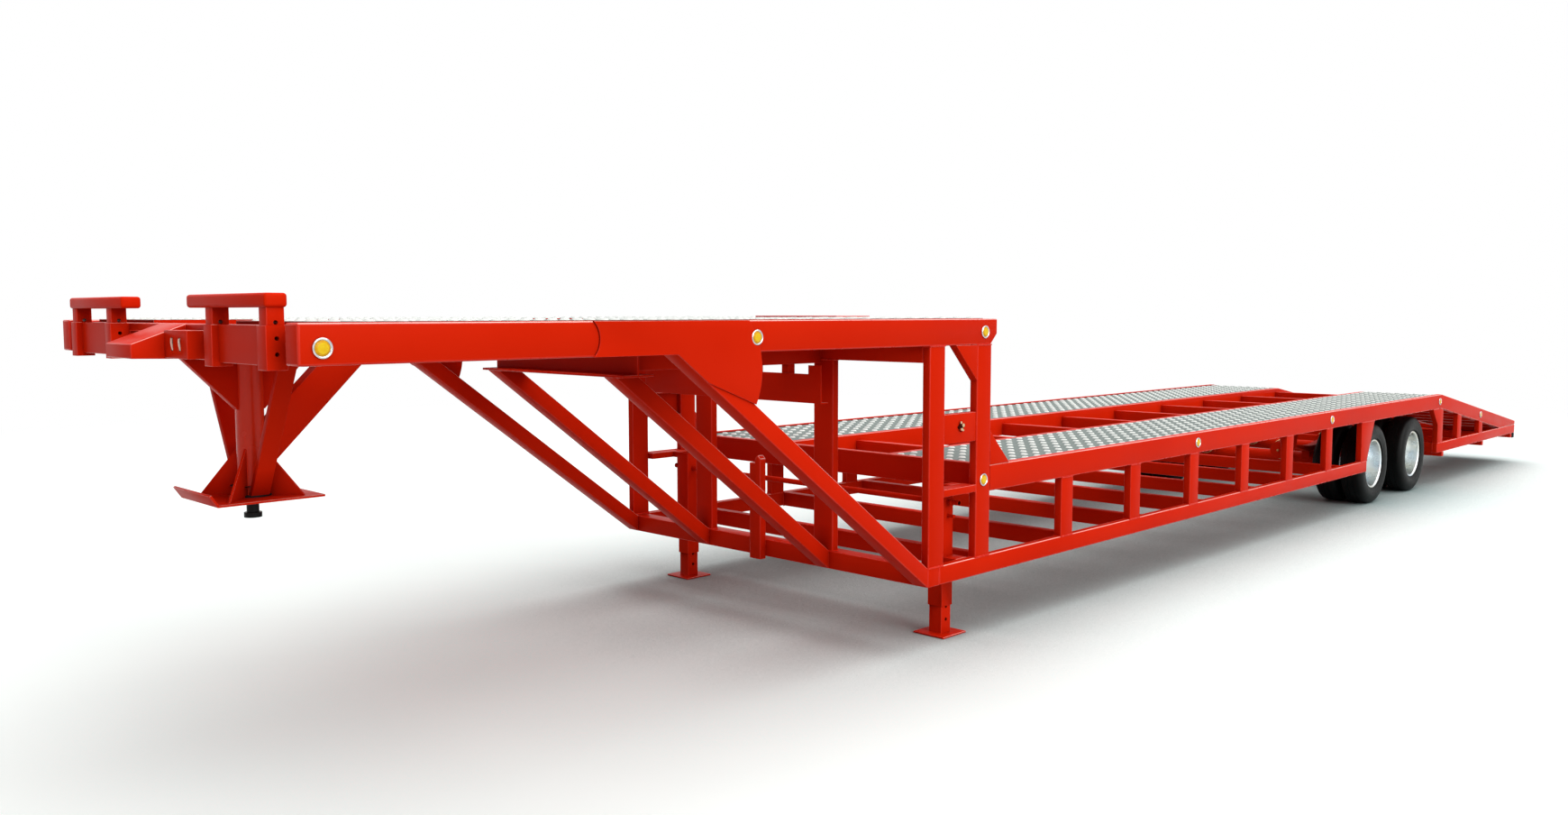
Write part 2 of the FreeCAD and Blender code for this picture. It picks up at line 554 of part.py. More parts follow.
def king_tube_braces():
    """A V-shaped web, a rear brace and two side braces from the king tube up to the neck frame."""
    def around(name, item):
        """Cope the piece round the king tube."""
        bar = round_bar(name + "_cope", size("tube_radius"), BEAM_TOP - COUPLER_TOP, (KINGPIN, 0, COUPLER_TOP), "z")
        return cut(name, item, bar)

    nose = ahead(size("socket_front")) - size("socket_size") - size("nose_member_depth")
    nose_low = size("socket_top") - size("nose_member_rise")
    web = ((ahead(size("web_rear")), BEAM_BOTTOM), (KINGPIN - size("tube_radius"), size("web_bottom")),
           (KINGPIN + size("tube_radius"), size("web_bottom")), (ahead(size("web_front")), nose_low),
           (nose, nose_low), (nose, BEAM_BOTTOM))
    foot = size("rear_brace_foot")
    rise = BEAM_BOTTOM - foot
    brace = ((KINGPIN, foot), (KINGPIN, foot + size("rear_brace_depth")),
             (KINGPIN - rise + size("rear_brace_depth"), BEAM_BOTTOM), (KINGPIN - rise, BEAM_BOTTOM))
    pieces = [around("king_web", plate("king_web_plate", web, across(size("web_half")))),
              around("rear_brace", plate("rear_brace_bar", brace, across(size("rear_brace_half"))))]
    low = COUPLER_TOP + size("pin_disc_plate")
    inner, lean = size("tube_radius"), size("side_brace_lean")
    thick, half = size("side_brace_plate"), size("side_brace_width") / 2
    for side, sign in SIDES:
        outline = [(sign * across_at, up) for across_at, up in (
            (inner, low), (inner + thick, low), (inner + thick + lean, BEAM_BOTTOM), (inner + lean, BEAM_BOTTOM))]
        pieces.append(cross_plate("side_brace_" + side, outline, (KINGPIN - half, KINGPIN + half)))
    node("king_tube_braces", pieces + coupler_gussets())
    frame = [box("king_plate", (behind(size("neck_member_last")) + 7 * size("neck_member_pitch")
                                + size("neck_member_width"), nose), across(size("king_frame_half")),
                 (BEAM_BOTTOM, BEAM_BOTTOM + 2 * size("sheet_wall")))]
    for side, sign in SIDES:
        edge = size("king_frame_half")
        frame.append(box("king_rib_" + side, (behind(size("neck_member_last")) + 7 * size("neck_member_pitch")
                                              + size("neck_member_width"), nose),
                         beside(sign, edge - 2 * size("sheet_wall"), edge),
                         (BEAM_BOTTOM + 2 * size("sheet_wall"), BEAM_BOTTOM + size("neck_member_depth"))))
    stub = box("king_stub", (behind(size("neck_member_last")) + 6 * size("neck_member_pitch")
                             + size("neck_member_width"),
                             behind(size("neck_member_last")) + 7 * size("neck_member_pitch")),
               across(size("header_width") / 2), (BEAM_BOTTOM, BEAM_BOTTOM + size("neck_member_depth")))
    node("king_frame", [joined("king_plate_ribbed", frame), stub])


def coupler_gussets():
    """Four triangular plates on the diagonals, between the king tube and the coupler plate."""
    radius, reach = size("tube_radius"), size("coupler_gusset")
    disc, half = size("pin_disc"), size("gusset_plate") / 2
    outline = ((radius, COUPLER_TOP + size("pin_disc_plate")), (disc, COUPLER_TOP + size("pin_disc_plate")),
               (disc, COUPLER_TOP), (reach, COUPLER_TOP), (radius, COUPLER_TOP + size("coupler_gusset_rise")))
    pieces = []
    for index in range(4):
        gusset = plate("coupler_gusset_%d" % index, outline, across(half))
        gusset.Placement.Rotation = FreeCAD.Rotation(FreeCAD.Vector(0, 0, 1), 45 + 90 * index)
        gusset.setExpression("Placement.Base.x", KINGPIN.text)
        pieces.append(gusset)
    return pieces


def neck_braces():
    """Four parallel sloping braces, from the low front crossbeam up and forward to the neck."""
    pieces = []
    for word, inner, outer, top in (
            ("outer", HALF - size("brace_width"), HALF, BEAM_BOTTOM),
            ("inner", size("inner_post_place") - size("brace_width") / 2,
             size("inner_post_place") + size("brace_width") / 2, size("brace_member_bottom"))):
        slope, upright = brace_edges(word)
        low_run = (top - SILL_BOTTOM) / slope
        high_run = (top - SILL_BOTTOM - upright) / slope
        outline = ((NECK, SILL_BOTTOM), (NECK, SILL_BOTTOM + upright), (ahead(high_run), top), (ahead(low_run), top))
        for side, sign in SIDES:
            pieces.append(plate("brace_%s_%s" % (word, side), outline, beside(sign, inner, outer)))
    node("neck_braces", pieces)


def neck_posts():
    """Upright posts at the step of the deck: two on each side, two inside and one in the middle."""
    depth, width = size("post_depth"), size("post_width")
    pieces = []
    for side, sign in SIDES:
        sideways = beside(sign, HALF - width, HALF)
        for word, front in (("front", NECK), ("rear", behind(size("rear_post")))):
            pieces.append(box("post_%s_%s" % (word, side), (front - depth, front), sideways, (SILL_TOP, BEAM_BOTTOM)))
        place, half = size("inner_post_place"), size("inner_post_width") / 2
        pieces.append(box("inner_post_" + side, (NECK - width, NECK), beside(sign, place - half, place + half),
                          (SILL_TOP, BEAM_BOTTOM - size("header_depth"))))
    half, top = size("centre_post_width") / 2, size("centre_post_top")
    low, lip = SILL_BOTTOM - size("centre_post_drop"), size("sheet_wall") * 4
    hook = ((-half, low), (half, low), (half, top + lip), (half - lip, top + 2 * lip), (half - 2 * lip, top + lip),
            (half - 2 * lip, top), (-half, top))
    pieces.append(cross_plate("centre_post", hook, (NECK, NECK + size("centre_post_plate"))))
    node("neck_posts", pieces)


def frame_gussets():
    """Corner plates at the rear neck posts: ahead of them under the beam, behind them on the rail."""
    front, width = behind(size("rear_post")), size("post_width")
    rear = front - size("post_depth")
    under = size("gusset_under")
    over = size("gusset_over")
    pieces = []
    for side, sign in SIDES:
        sideways = beside(sign, HALF - width, HALF)
        pieces.append(plate("beam_gusset_" + side, ((front, BEAM_BOTTOM), (front + under, BEAM_BOTTOM),
                                                    (front, BEAM_BOTTOM - under)), sideways))
        pieces.append(plate("rail_gusset_" + side, ((rear, RAIL_TOP), (rear, RAIL_TOP + over),
                                                    (rear - over, RAIL_TOP)),
                            beside(sign, HALF - size("rail_plate"), HALF)))
    node("frame_gussets", pieces)


def floor_frame():
    """The low front crossbeam, the beam at the front of the deck, the sills and the floor tubes."""
    low = box("front_crossbeam", (behind(size("header_width")), NECK), across(HALF), (SILL_BOTTOM, SILL_TOP))
    deck_front = behind(size("rear_post") + size("post_depth"))
    high = box("deck_front_beam", (deck_front - size("sill_width"), deck_front), across(HALF - size("sill_width")),
               (RAIL_BOTTOM, RAIL_TOP))
    node("front_crossbeams", [low, high])
    sills = []
    for side, sign in SIDES:
        sideways = beside(sign, HALF - size("sill_width"), HALF)
        sills.append(box("sill_" + side, (behind(size("sill_rear")), behind(size("header_width"))), sideways,
                         (SILL_BOTTOM, SILL_TOP)))
        sills.append(box("tail_sill_" + side, (behind(size("tail_length")), behind(size("tail_frame_front"))),
                         sideways, (SILL_BOTTOM, SILL_TOP)))
    node("sills", sills)
    fronts = [size("floor_member_first") + index * size("member_pitch") for index in range(count("floor_member_count"))]
    fronts += [size("tail_frame_front"), size("tail_post_a"), size("tail_post_b")]
    tubes = [tube("floor_tube_%d" % index, (behind(front + size("cross_tube")), behind(front)),
                  across(HALF - size("sill_width")), (SILL_BOTTOM, SILL_TOP), size("sill_wall"), "y")
             for index, front in enumerate(fronts)]
    node("floor_tubes", tubes)


SLOPE = (RAIL_TOP - size("tail_end_top")) / (size("tail_length") - size("peak"))


def fall(distance):
    """How far the deck has dropped at a place behind the peak."""
    return SLOPE * (distance - size("peak"))


def truss_posts():
    """Posts between the sill and the deck rail; the tail's posts follow the sloping rail."""
    pieces = []
    for side, sign in SIDES:
        sideways = beside(sign, HALF - size("sill_width"), HALF)
        for index in range(count("truss_count")):
            front = behind(size("truss_first") + index * size("truss_pitch"))
            pieces.append(box("truss_post_%d_%s" % (index, side), (front - size("truss_post"), front), sideways,
                              (SILL_TOP, RAIL_BOTTOM)))
        front, foot = behind(size("truss_last")), behind(size("sill_rear"))
        arch = ((front, SILL_TOP), (front, RAIL_BOTTOM), (foot - size("arch_lean"), RAIL_BOTTOM), (foot, SILL_TOP))
        pieces.append(plate("arch_post_" + side, arch, sideways))
        start = size("tail_frame_front")
        end = start + size("tail_post")
        peak = size("peak")
        front_post = ((behind(start - size("tail_post")), RAIL_BOTTOM), (behind(peak), RAIL_BOTTOM),
                      (behind(end), RAIL_BOTTOM - fall(end)), (behind(end), SILL_TOP), (behind(start), SILL_TOP),
                      (behind(start), RAIL_BOTTOM - size("tail_post")))
        pieces.append(plate("tail_post_front_" + side, front_post, sideways))
        for word in ("tail_post_a", "tail_post_b"):
            start, end = size(word), size(word) + size("truss_post")
            outline = ((behind(start), SILL_TOP), (behind(start), RAIL_BOTTOM - fall(start)),
                       (behind(end), RAIL_BOTTOM - fall(end)), (behind(end), SILL_TOP))
            pieces.append(plate(word + "_" + side, outline, sideways))
    node("truss_posts", pieces)


def side_rails():
    """Channel rails along both edges of the low deck, bent down at the peak to the tail's end."""
    start = behind(size("rear_post") + size("post_depth"))
    peak, end = size("peak"), size("tail_length")
    skin, width = size("rail_plate"), size("sill_width")
    meet = peak + (RAIL_BOTTOM - SILL_TOP) / SLOPE
    outline = ((start, RAIL_TOP), (start, RAIL_BOTTOM), (behind(peak), RAIL_BOTTOM), (behind(meet), SILL_TOP),
               (behind(end), SILL_TOP), (behind(end), size("tail_end_top")), (behind(peak), RAIL_TOP))
    stop = meet - size("rail_depth")
    hollow = ((start, RAIL_TOP - skin), (start, RAIL_BOTTOM + skin), (behind(peak), RAIL_BOTTOM + skin),
              (behind(stop), RAIL_BOTTOM + skin - fall(stop)), (behind(stop), RAIL_TOP - skin - fall(stop)),
              (behind(peak), RAIL_TOP - skin))
    pieces = []
    for side, sign in SIDES:
        bar = plate("side_rail_bar_" + side, outline, beside(sign, HALF - width, HALF))
        pocket = plate("side_rail_pocket_" + side, hollow, beside(sign, HALF - width, HALF - skin))
        pieces.append(cut("side_rail_" + side, bar, pocket))
    node("side_rails", pieces)


def inner_deck_rails():
    """Channel rails along the inner edges of the runways, webs to the middle."""
    start = behind(size("rear_post") + size("post_depth") + size("sill_width"))
    peak, end = size("peak"), size("tail_length") - size("member_width")
    top, skin = INNER_RAIL_TOP, size("rail_plate")
    outer, width = size("runway_inner"), size("stringer_width")

    def bar(over, under):
        """The rail's outline, lowered at the top and raised at the bottom."""
        return ((start, top - over), (start, RAIL_BOTTOM + under), (behind(peak), RAIL_BOTTOM + under),
                (behind(end), RAIL_BOTTOM + under - fall(end)), (behind(end), top - over - fall(end)),
                (behind(peak), top - over))
    pieces = []
    for side, sign in SIDES:
        solid = plate("inner_rail_bar_" + side, bar(0, 0), beside(sign, outer - width, outer))
        pocket = plate("inner_rail_pocket_" + side, bar(skin, skin), beside(sign, outer - width + skin, outer))
        pieces.append(cut("inner_rail_" + side, solid, pocket))
    node("inner_deck_rails", pieces)


def deck_crossmembers():
    """Crossmembers between the rails, in three lengths, flat under the deck and sloped in the tail."""
    width = size("member_width")
    inner, outer = size("runway_inner"), HALF - size("sill_width")
    web = inner - size("stringer_width")
    spans = (("middle", across(web)), ("left", beside(1, inner, outer)), ("right", beside(-1, inner, outer)))
    pieces = []
    for index in range(count("member_count")):
        start = size("member_first") + index * size("member_pitch")
        for word, sideways in spans:
            pieces.append(box("deck_member_%d_%s" % (index, word), (behind(start + width), behind(start)), sideways,
                              (RAIL_BOTTOM, RAIL_BOTTOM + size("member_depth"))))
    for index in range(count("tail_member_count")):
        ahead_of_last = count("tail_member_count") - 1 - index
        start = size("tail_length") - size("tail_member_last") - ahead_of_last * size("tail_member_pitch")
        top = INNER_RAIL_TOP - size("runway_depth")
        outline = ((behind(start), top - fall(start)), (behind(start), RAIL_BOTTOM - fall(start)),
                   (behind(start + width), RAIL_BOTTOM - fall(start + width)),
                   (behind(start + width), top - fall(start + width)))
        for word, sideways in spans:
            pieces.append(plate("tail_member_%d_%s" % (index, word), outline, sideways))
    end = behind(size("tail_length"))
    top = INNER_RAIL_TOP - size("runway_depth") - (RAIL_TOP - size("tail_end_top"))
    pieces.append(box("tail_end_member", (end, end + width), across(outer), (SILL_BOTTOM, top)))
    node("deck_crossmembers", pieces)


def deck_runways():
    """The steel runways of the low deck, over the peak and down the tail."""
    start = behind(size("rear_post") + size("post_depth") + size("sill_width"))
    peak, end = size("peak"), size("tail_length")
    top = INNER_RAIL_TOP
    line = ((start, top), (behind(peak), top), (behind(end), top - fall(end)))
    pieces = [runway_pan("deck_runway_" + side, line,
                         beside(sign, size("runway_inner"), HALF - size("sill_width"))) for side, sign in SIDES]
    node("deck_runways", pieces)


def tail_carrier():
    """Cross bars and bearers slung under the tail, and the rubber-faced bumper at its end."""
    depth, width = size("carrier_depth"), size("member_width")
    top = SILL_BOTTOM
    pieces = []
    starts = [size("tail_frame_front") + size("tail_post"), size("tail_post_b") + size("truss_post"),
              size("tail_length") - 3 * width]
    for index, start in enumerate(starts):
        pieces.append(box("carrier_bar_%d" % index, (behind(start + width), behind(start)), across(HALF),
                          (top - depth, top)))
    for side, sign in SIDES:
        pieces.append(box("carrier_bearer_" + side, (behind(starts[2]), behind(starts[0] + width)),
                          beside(sign, size("carrier_place"), size("carrier_place") + depth), (top - depth, top)))
    node("tail_carrier", [joined("tail_carrier_welded", pieces)])
    end = behind(size("tail_length"))
    node("rear_bumper", [box("rear_bumper_bar", (end, end + width), across(HALF), (top - size("bumper_depth"), top))])


LEG = behind(size("leg_behind"))


def drop_legs():
    """Square drop legs in sleeves between the neck posts, with a shaft from leg to leg."""
    sleeve, bar = size("leg_sleeve") / 2, size("leg_tube") / 2
    place, low, high = size("leg_place"), size("leg_sleeve_bottom"), size("leg_sleeve_top")
    sleeves = []
    for side, sign in SIDES:
        outer_face = place + sleeve
        pieces = [tube("leg_sleeve_" + side, (LEG - sleeve, LEG + sleeve), beside(sign, place - sleeve, outer_face),
                       (low, high), size("leg_sleeve_wall"), "z")]
        pieces.append(box("leg_sill_bracket_" + side, (LEG - sleeve, LEG + sleeve),
                          beside(sign, outer_face, HALF - size("sill_width")), (SILL_BOTTOM, SILL_TOP)))
        pieces.append(box("leg_step_bracket_" + side, (LEG - sleeve, LEG + sleeve),
                          beside(sign, outer_face, HALF - size("ladder_step_depth")),
                          (size("ladder_step_bottom"), size("ladder_step_top"))))
        sleeves.append(joined("leg_sleeve_welded_" + side, pieces))
        foot, thick = size("foot_size") / 2, size("foot_plate")
        leg = [tube("leg_tube_" + side, (LEG - bar, LEG + bar), beside(sign, place - bar, place + bar),
                    (thick, size("leg_tube_top")), size("leg_tube_wall"), "z"),
               box("leg_foot_" + side, (LEG - foot, LEG + foot), beside(sign, place - foot, place + foot),
                   (0, thick))]
        holes = [round_bar("leg_hole_%s_%d" % (side, index), size("leg_pin"), 2 * bar,
                           (LEG, beside(sign, place - bar, place + bar)[0],
                            size("leg_hole_first") + index * size("leg_hole_pitch")), "y") for index in range(count("leg_holes"))]
        node("drop_leg_" + side, [drilled("drop_leg_drilled_" + side, leg, holes)])
    node("leg_sleeves", sleeves)
    inner_face = place - sleeve
    shaft = [round_bar("leg_shaft_bar", size("leg_shaft"), 2 * inner_face, (LEG, -inner_face, size("leg_shaft_up")), "y")]
    plunger_up = size("leg_hole_first") + (count("leg_holes") - 1) * size("leg_hole_pitch")
    for side, sign in SIDES:
        span = beside(sign, place + sleeve, place + sleeve + size("plunger_length"))
        shaft.append(round_bar("leg_plunger_" + side, size("leg_pin"), span[1] - span[0], (LEG, span[0], plunger_up), "y"))
    node("leg_shaft", shaft)


def ladders():
    """Climbing places between the side posts: a pressed riser above and a deep step below."""
    along = (behind(size("rear_post")), behind(size("post_depth")))
    wall = size("sheet_wall")
    pieces = []
    for side, sign in SIDES:
        riser = box("riser_outer_" + side, along, beside(sign, HALF - size("post_width"), HALF - wall),
                    (size("ladder_riser_bottom"), size("ladder_riser_top")))
        hollow = box("riser_inner_" + side, along, beside(sign, HALF - size("post_width"), HALF - 2 * wall),
                     (size("ladder_riser_bottom") + wall, size("ladder_riser_top") - wall))
        pieces.append(cut("riser_" + side, riser, hollow))
        pieces.append(box("step_" + side, along, beside(sign, HALF - size("ladder_step_depth"), HALF),
                          (size("ladder_step_bottom"), size("ladder_step_top"))))
    node("ladder_steps", pieces)


AXLES = (("front", size("front_axle")), ("rear", size("front_axle") + size("axle_spread")))
WHEEL_UP = size("tyre_radius")


def suspension():
    """Bogie rails with tapered spring hangers, and a leaf spring over each axle on each side."""
    place, half = size("spring_place"), size("spring_width") / 2
    skin, reach = size("hanger_plate"), size("spring_reach")
    top = RAIL_BOTTOM
    rail_low = top - size("bogie_depth")
    first, last = AXLES[0][1], AXLES[1][1]
    hangers = (first - reach, (first + last) / 2, last + reach)
    pin_up = WHEEL_UP + size("axle_radius") + size("spring_seat") + size("spring_plates") + size("spring_camber")
    frames, springs = [], []
    for side, sign in SIDES:
        gap = size("hanger_gap")
        pieces = [box("bogie_rail_" + side, (behind(size("bogie_rear")), behind(size("bogie_front"))),
                      beside(sign, place - half - gap - skin, place + half + gap + skin), (rail_low, top))]
        for index, middle in enumerate(hangers):
            wide, narrow = size("hanger_top") / 2, size("hanger_foot") / 2
            outline = ((behind(middle - wide), rail_low), (behind(middle + wide), rail_low),
                       (behind(middle + narrow), pin_up - narrow), (behind(middle - narrow), pin_up - narrow))
            for word, inner in (("inner", place - half - gap - skin), ("outer", place + half + gap)):
                pieces.append(plate("hanger_%d_%s_%s" % (index, word, side), outline,
                                    beside(sign, inner, inner + skin)))
            span = beside(sign, place - half - gap, place + half + gap)
            pieces.append(round_bar("hanger_pin_%d_%s" % (index, side), size("leg_pin"), span[1] - span[0],
                                    (behind(middle), span[0], pin_up), "y"))
        frames.append(joined("bogie_rail_welded_" + side, pieces))
        seat_top = WHEEL_UP + size("axle_radius") + size("spring_seat")
        tip, leaf, grip = reach - size("leg_pin"), size("spring_leaf"), size("spring_grip") / 2
        for word, middle in AXLES:
            outline = ((behind(middle - grip), seat_top), (behind(middle + grip), seat_top),
                       (behind(middle + tip), pin_up - leaf), (behind(middle + tip), pin_up),
                       (behind(middle + grip), seat_top + size("spring_plates")),
                       (behind(middle - grip), seat_top + size("spring_plates")),
                       (behind(middle - tip), pin_up), (behind(middle - tip), pin_up - leaf))
            springs.append(plate("spring_%s_%s" % (word, side), outline, beside(sign, place - half, place + half)))
    node("bogie_rails", frames)
    node("leaf_springs", springs)


OUTER_MIDDLE = size("outer_tyre_face") - size("tyre_width") / 2
DUAL_FACE = OUTER_MIDDLE - size("dual_spacing") / 2


def axles():
    """Round axles with a spindle at each end, a seat for each spring and two brake chambers ahead."""
    shoulder = size("axle_shoulder")
    for word, distance in AXLES:
        beam = round_bar("axle_beam_" + word, size("axle_radius"), 2 * shoulder,
                         (behind(distance), -shoulder, WHEEL_UP), "y")
        spindle_end = OUTER_MIDDLE - size("spindle_short")
        spindle = round_bar("axle_spindle_" + word, size("spindle_radius"), 2 * spindle_end,
                            (behind(distance), -spindle_end, WHEEL_UP), "y")
        pieces = [beam, spindle]
        for side, sign in SIDES:
            half, grip = size("spring_width") / 2, size("spring_grip") / 2
            pieces.append(box("spring_seat_%s_%s" % (word, side), (behind(distance + grip), behind(distance - grip)),
                              beside(sign, size("spring_place") - half, size("spring_place") + half),
                              (WHEEL_UP, WHEEL_UP + size("axle_radius") + size("spring_seat"))))
        rear, front = behind(distance), behind(distance - size("chamber_ahead"))
        cans = []
        for side, sign in SIDES:
            place, can_up = size("chamber_place"), WHEEL_UP + size("chamber_up")
            pieces.append(box("chamber_arm_%s_%s" % (word, side), (rear, front - size("hanger_plate")),
                              beside(sign, place - size("hanger_plate"), place + size("hanger_plate")),
                              (WHEEL_UP, can_up)))
            pieces.append(box("chamber_bracket_%s_%s" % (word, side), (front - size("hanger_plate"), front),
                              beside(sign, place - size("chamber_radius"), place + size("chamber_radius")),
                              (WHEEL_UP, can_up + size("axle_radius"))))
            middle = place * sign
            band_front = front + size("chamber_length") / 3
            can = [round_bar("chamber_can_%s_%s" % (word, side), size("chamber_radius"), size("chamber_length"),
                             (front, middle, can_up), "x"),
                   round_bar("chamber_band_%s_%s" % (word, side), size("chamber_band"), size("hanger_plate"),
                             (band_front, middle, can_up), "x")]
            cans.append(joined("chamber_%s_%s" % (word, side), can))
        node("axle_" + word, [joined("axle_welded_" + word, pieces)] + cans)


def wheels():
    """Twin tyres on twin steel discs, with hub and brake drum, at both ends of both axles."""
    radius, half, bead = size("tyre_radius"), size("tyre_width") / 2, size("rim_radius") - size("rim_step")
    tread, gap = size("tread_width") / 2, size("seat_gap")
    # radius, share of the tyre's half width
    lip = size("rim_radius") + size("rim_step")
    wall_points = ((bead + gap, size("bead_half") - gap), (lip + gap, size("bead_half") - gap),
                   (radius - size("shoulder_high"), half),
                   (radius - size("shoulder_low"), half - size("shoulder_low") / 3), (radius, tread))
    hub, bore = size("hub_radius"), size("spindle_radius") + size("hub_clearance")
    hub_end = OUTER_MIDDLE - size("spindle_short") + size("hub_cap")
    barrel, sheet_steel = bead - size("disc_plate"), size("disc_plate")
    edge = OUTER_MIDDLE + size("bead_half") + size("rim_step")
    for word, distance in AXLES:
        for side, sign in SIDES:
            place = (behind(distance), 0, WHEEL_UP)
            tyres = []
            for ring, middle in (("outer", OUTER_MIDDLE), ("inner", OUTER_MIDDLE - size("dual_spacing"))):
                outline = [(r, middle - y) for r, y in wall_points] + [(r, middle + y) for r, y in reversed(wall_points)]
                tyres.append(turned("tyre_%s_%s_%s" % (ring, word, side), outline, place, sign))
            node("tyres_%s_%s" % (word, side), tyres)
            rim = ((hub, DUAL_FACE), (barrel - 2 * sheet_steel, DUAL_FACE), (barrel, 2 * OUTER_MIDDLE - edge),
                   (lip, 2 * OUTER_MIDDLE - edge), (bead, 2 * OUTER_MIDDLE - edge + size("rim_step")),
                   (bead, edge - size("rim_step")), (lip, edge), (barrel, edge),
                   (barrel, DUAL_FACE + 6 * sheet_steel), (barrel - 3 * sheet_steel, DUAL_FACE + sheet_steel),
                   (hub, DUAL_FACE + sheet_steel))
            rims = [turned("rim_outer_%s_%s" % (word, side), rim, place, sign)]
            mirrored = [(r, 2 * DUAL_FACE - y) for r, y in reversed(rim)]
            rims.append(turned("rim_inner_%s_%s" % (word, side), mirrored, place, sign))
            core = ((bore, size("drum_inner")), (bore, hub_end - size("hub_cap")), (0, hub_end - size("hub_cap")),
                    (0, hub_end), (hub - 2 * sheet_steel, hub_end), (hub, hub_end - 2 * sheet_steel),
                    (hub, size("drum_inner")))
            rims.append(turned("hub_%s_%s" % (word, side), core, place, sign))
            drum, back = size("drum_radius"), size("drum_inner") + size("drum_width")
            shell = ((hub, back - sheet_steel), (drum - sheet_steel, back - sheet_steel),
                     (drum - sheet_steel, size("drum_inner")), (drum, size("drum_inner")), (drum, back), (hub, back))
            rims.append(turned("drum_%s_%s" % (word, side), shell, place, sign))
            holes = []
            for index in range(count("hand_holes")):
                angle = 2 * math.pi * index / count("hand_holes")
                span = beside(sign, DUAL_FACE - 2 * sheet_steel, DUAL_FACE + 2 * sheet_steel)
                holes.append(round_bar("hand_hole_%d_%s_%s" % (index, word, side), size("hand_hole"),
                                       span[1] - span[0],
                                       (behind(distance) + size("hand_hole_circle") * math.cos(angle), span[0],
                                        WHEEL_UP + size("hand_hole_circle") * math.sin(angle)), "y"))
            node("wheels_%s_%s" % (word, side), [drilled("wheels_welded_%s_%s" % (word, side), rims, holes)])


def marker_lamps():
    """Round side marker lamps: an amber lens in a bright ring, eight on each side."""
    ring, lens, proud = size("lamp_radius"), size("lamp_lens"), size("lamp_proud")
    rings, lenses = [], []
    for index, (along, edge, drop) in enumerate(LAMPS):
        up = size(edge) - drop
        if -along > size("peak").number:
            up = up - fall(-along)
        for side, sign in SIDES:
            place = (ahead(along), HALF * sign, up)
            outline = ((lens, 0), (ring, 0), (ring, proud / 2), (lens, proud))
            rings.append(turned("lamp_ring_%d_%s" % (index, side), outline, place, sign))
            dome = ((0, 0), (lens, 0), (lens, proud / 2), (lens / 2, proud), (0, proud))
            lenses.append(turned("lamp_lens_%d_%s" % (index, side), dome, place, sign))
    node("lamp_rings", rings)
    node("lamp_lenses", lenses)


def check(label):
    """Stop if any object failed or is not a valid shape."""
    for item in doc.Objects:
        states = item.State
        if "Invalid" in states or "Error" in states:
            raise RuntimeError("%s: %s is %s" % (label, item.Name, states))
        shape = getattr(item, "Shape", None)
        if shape is not None and not shape.isNull() and not shape.isValid():
            raise RuntimeError("%s: %s has an invalid shape" % (label, item.Name))


for build in (neck_side_beams, neck_doubler_plates, neck_crossmembers, neck_headers, strap_tray,
              neck_runways, nose_member, wheel_stops, nose_wedge, coupler, king_tube_braces,
              neck_braces, neck_posts, frame_gussets, floor_frame, truss_posts, side_rails, inner_deck_rails,
              deck_crossmembers, deck_runways, tail_carrier, drop_legs, ladders, suspension, axles, wheels,
              marker_lamps):
    build()
doc.recompute()
check("model")
os.makedirs("parts", exist_ok=True)
for item in exported:
    item.Shape.exportStep("parts/%s.step" % item.Label)
    print(item.Label, item.Shape.BoundBox)
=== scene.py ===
import math

import bmesh
import bpy
from mathutils import Matrix, Vector


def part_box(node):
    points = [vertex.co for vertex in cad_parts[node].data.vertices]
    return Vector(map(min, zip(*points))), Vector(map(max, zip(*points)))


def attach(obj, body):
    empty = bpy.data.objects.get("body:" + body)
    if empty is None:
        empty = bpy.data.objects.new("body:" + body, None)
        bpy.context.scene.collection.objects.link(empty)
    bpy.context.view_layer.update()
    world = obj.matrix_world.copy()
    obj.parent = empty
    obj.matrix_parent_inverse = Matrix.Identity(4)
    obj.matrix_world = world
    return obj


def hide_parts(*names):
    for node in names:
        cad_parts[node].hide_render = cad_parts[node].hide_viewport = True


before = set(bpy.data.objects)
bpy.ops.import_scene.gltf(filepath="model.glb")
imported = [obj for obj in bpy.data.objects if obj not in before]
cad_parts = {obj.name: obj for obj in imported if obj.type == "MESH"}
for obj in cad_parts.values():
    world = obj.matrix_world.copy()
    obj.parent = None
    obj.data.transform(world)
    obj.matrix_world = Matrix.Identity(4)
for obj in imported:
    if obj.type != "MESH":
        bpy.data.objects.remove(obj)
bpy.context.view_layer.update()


# The studio: a white paper floor that runs out to the white surround, a broad soft
# lamp overhead, one on the trailer's left, and weak ones ahead and on its right.
scene = bpy.context.scene
scene.view_settings.view_transform = "Standard"


def new_material(name):
    """An empty node material with its output."""
    material = bpy.data.materials.new(name)
    material.use_nodes = True
    tree = material.node_tree
    tree.nodes.clear()
    return material, tree, tree.nodes.new("ShaderNodeOutputMaterial")


def tones(tree, factor, stops):
    """A colour ramp over (position, colour) stops."""
    ramp = tree.nodes.new("ShaderNodeValToRGB")
    strip = ramp.color_ramp.elements
    while len(strip) < len(stops):
        strip.new(0.5)
    for element, (position, colour) in zip(strip, stops):
        element.position = position
        element.color = (*colour, 1.0)
    tree.links.new(factor, ramp.inputs["Fac"])
    return ramp.outputs["Color"]


def seen_directly(tree):
    """1 for what the camera sees, also in a reflection or through glass, else 0."""
    rays = tree.nodes.new("ShaderNodeLightPath")
    seen = rays.outputs["Is Camera Ray"]
    for kind in ("Is Glossy Ray", "Is Transmission Ray"):
        either = tree.nodes.new("ShaderNodeMath")
        either.operation = "MAXIMUM"
        tree.links.new(seen, either.inputs[0])
        tree.links.new(rays.outputs[kind], either.inputs[1])
        seen = either.outputs[0]
    return seen


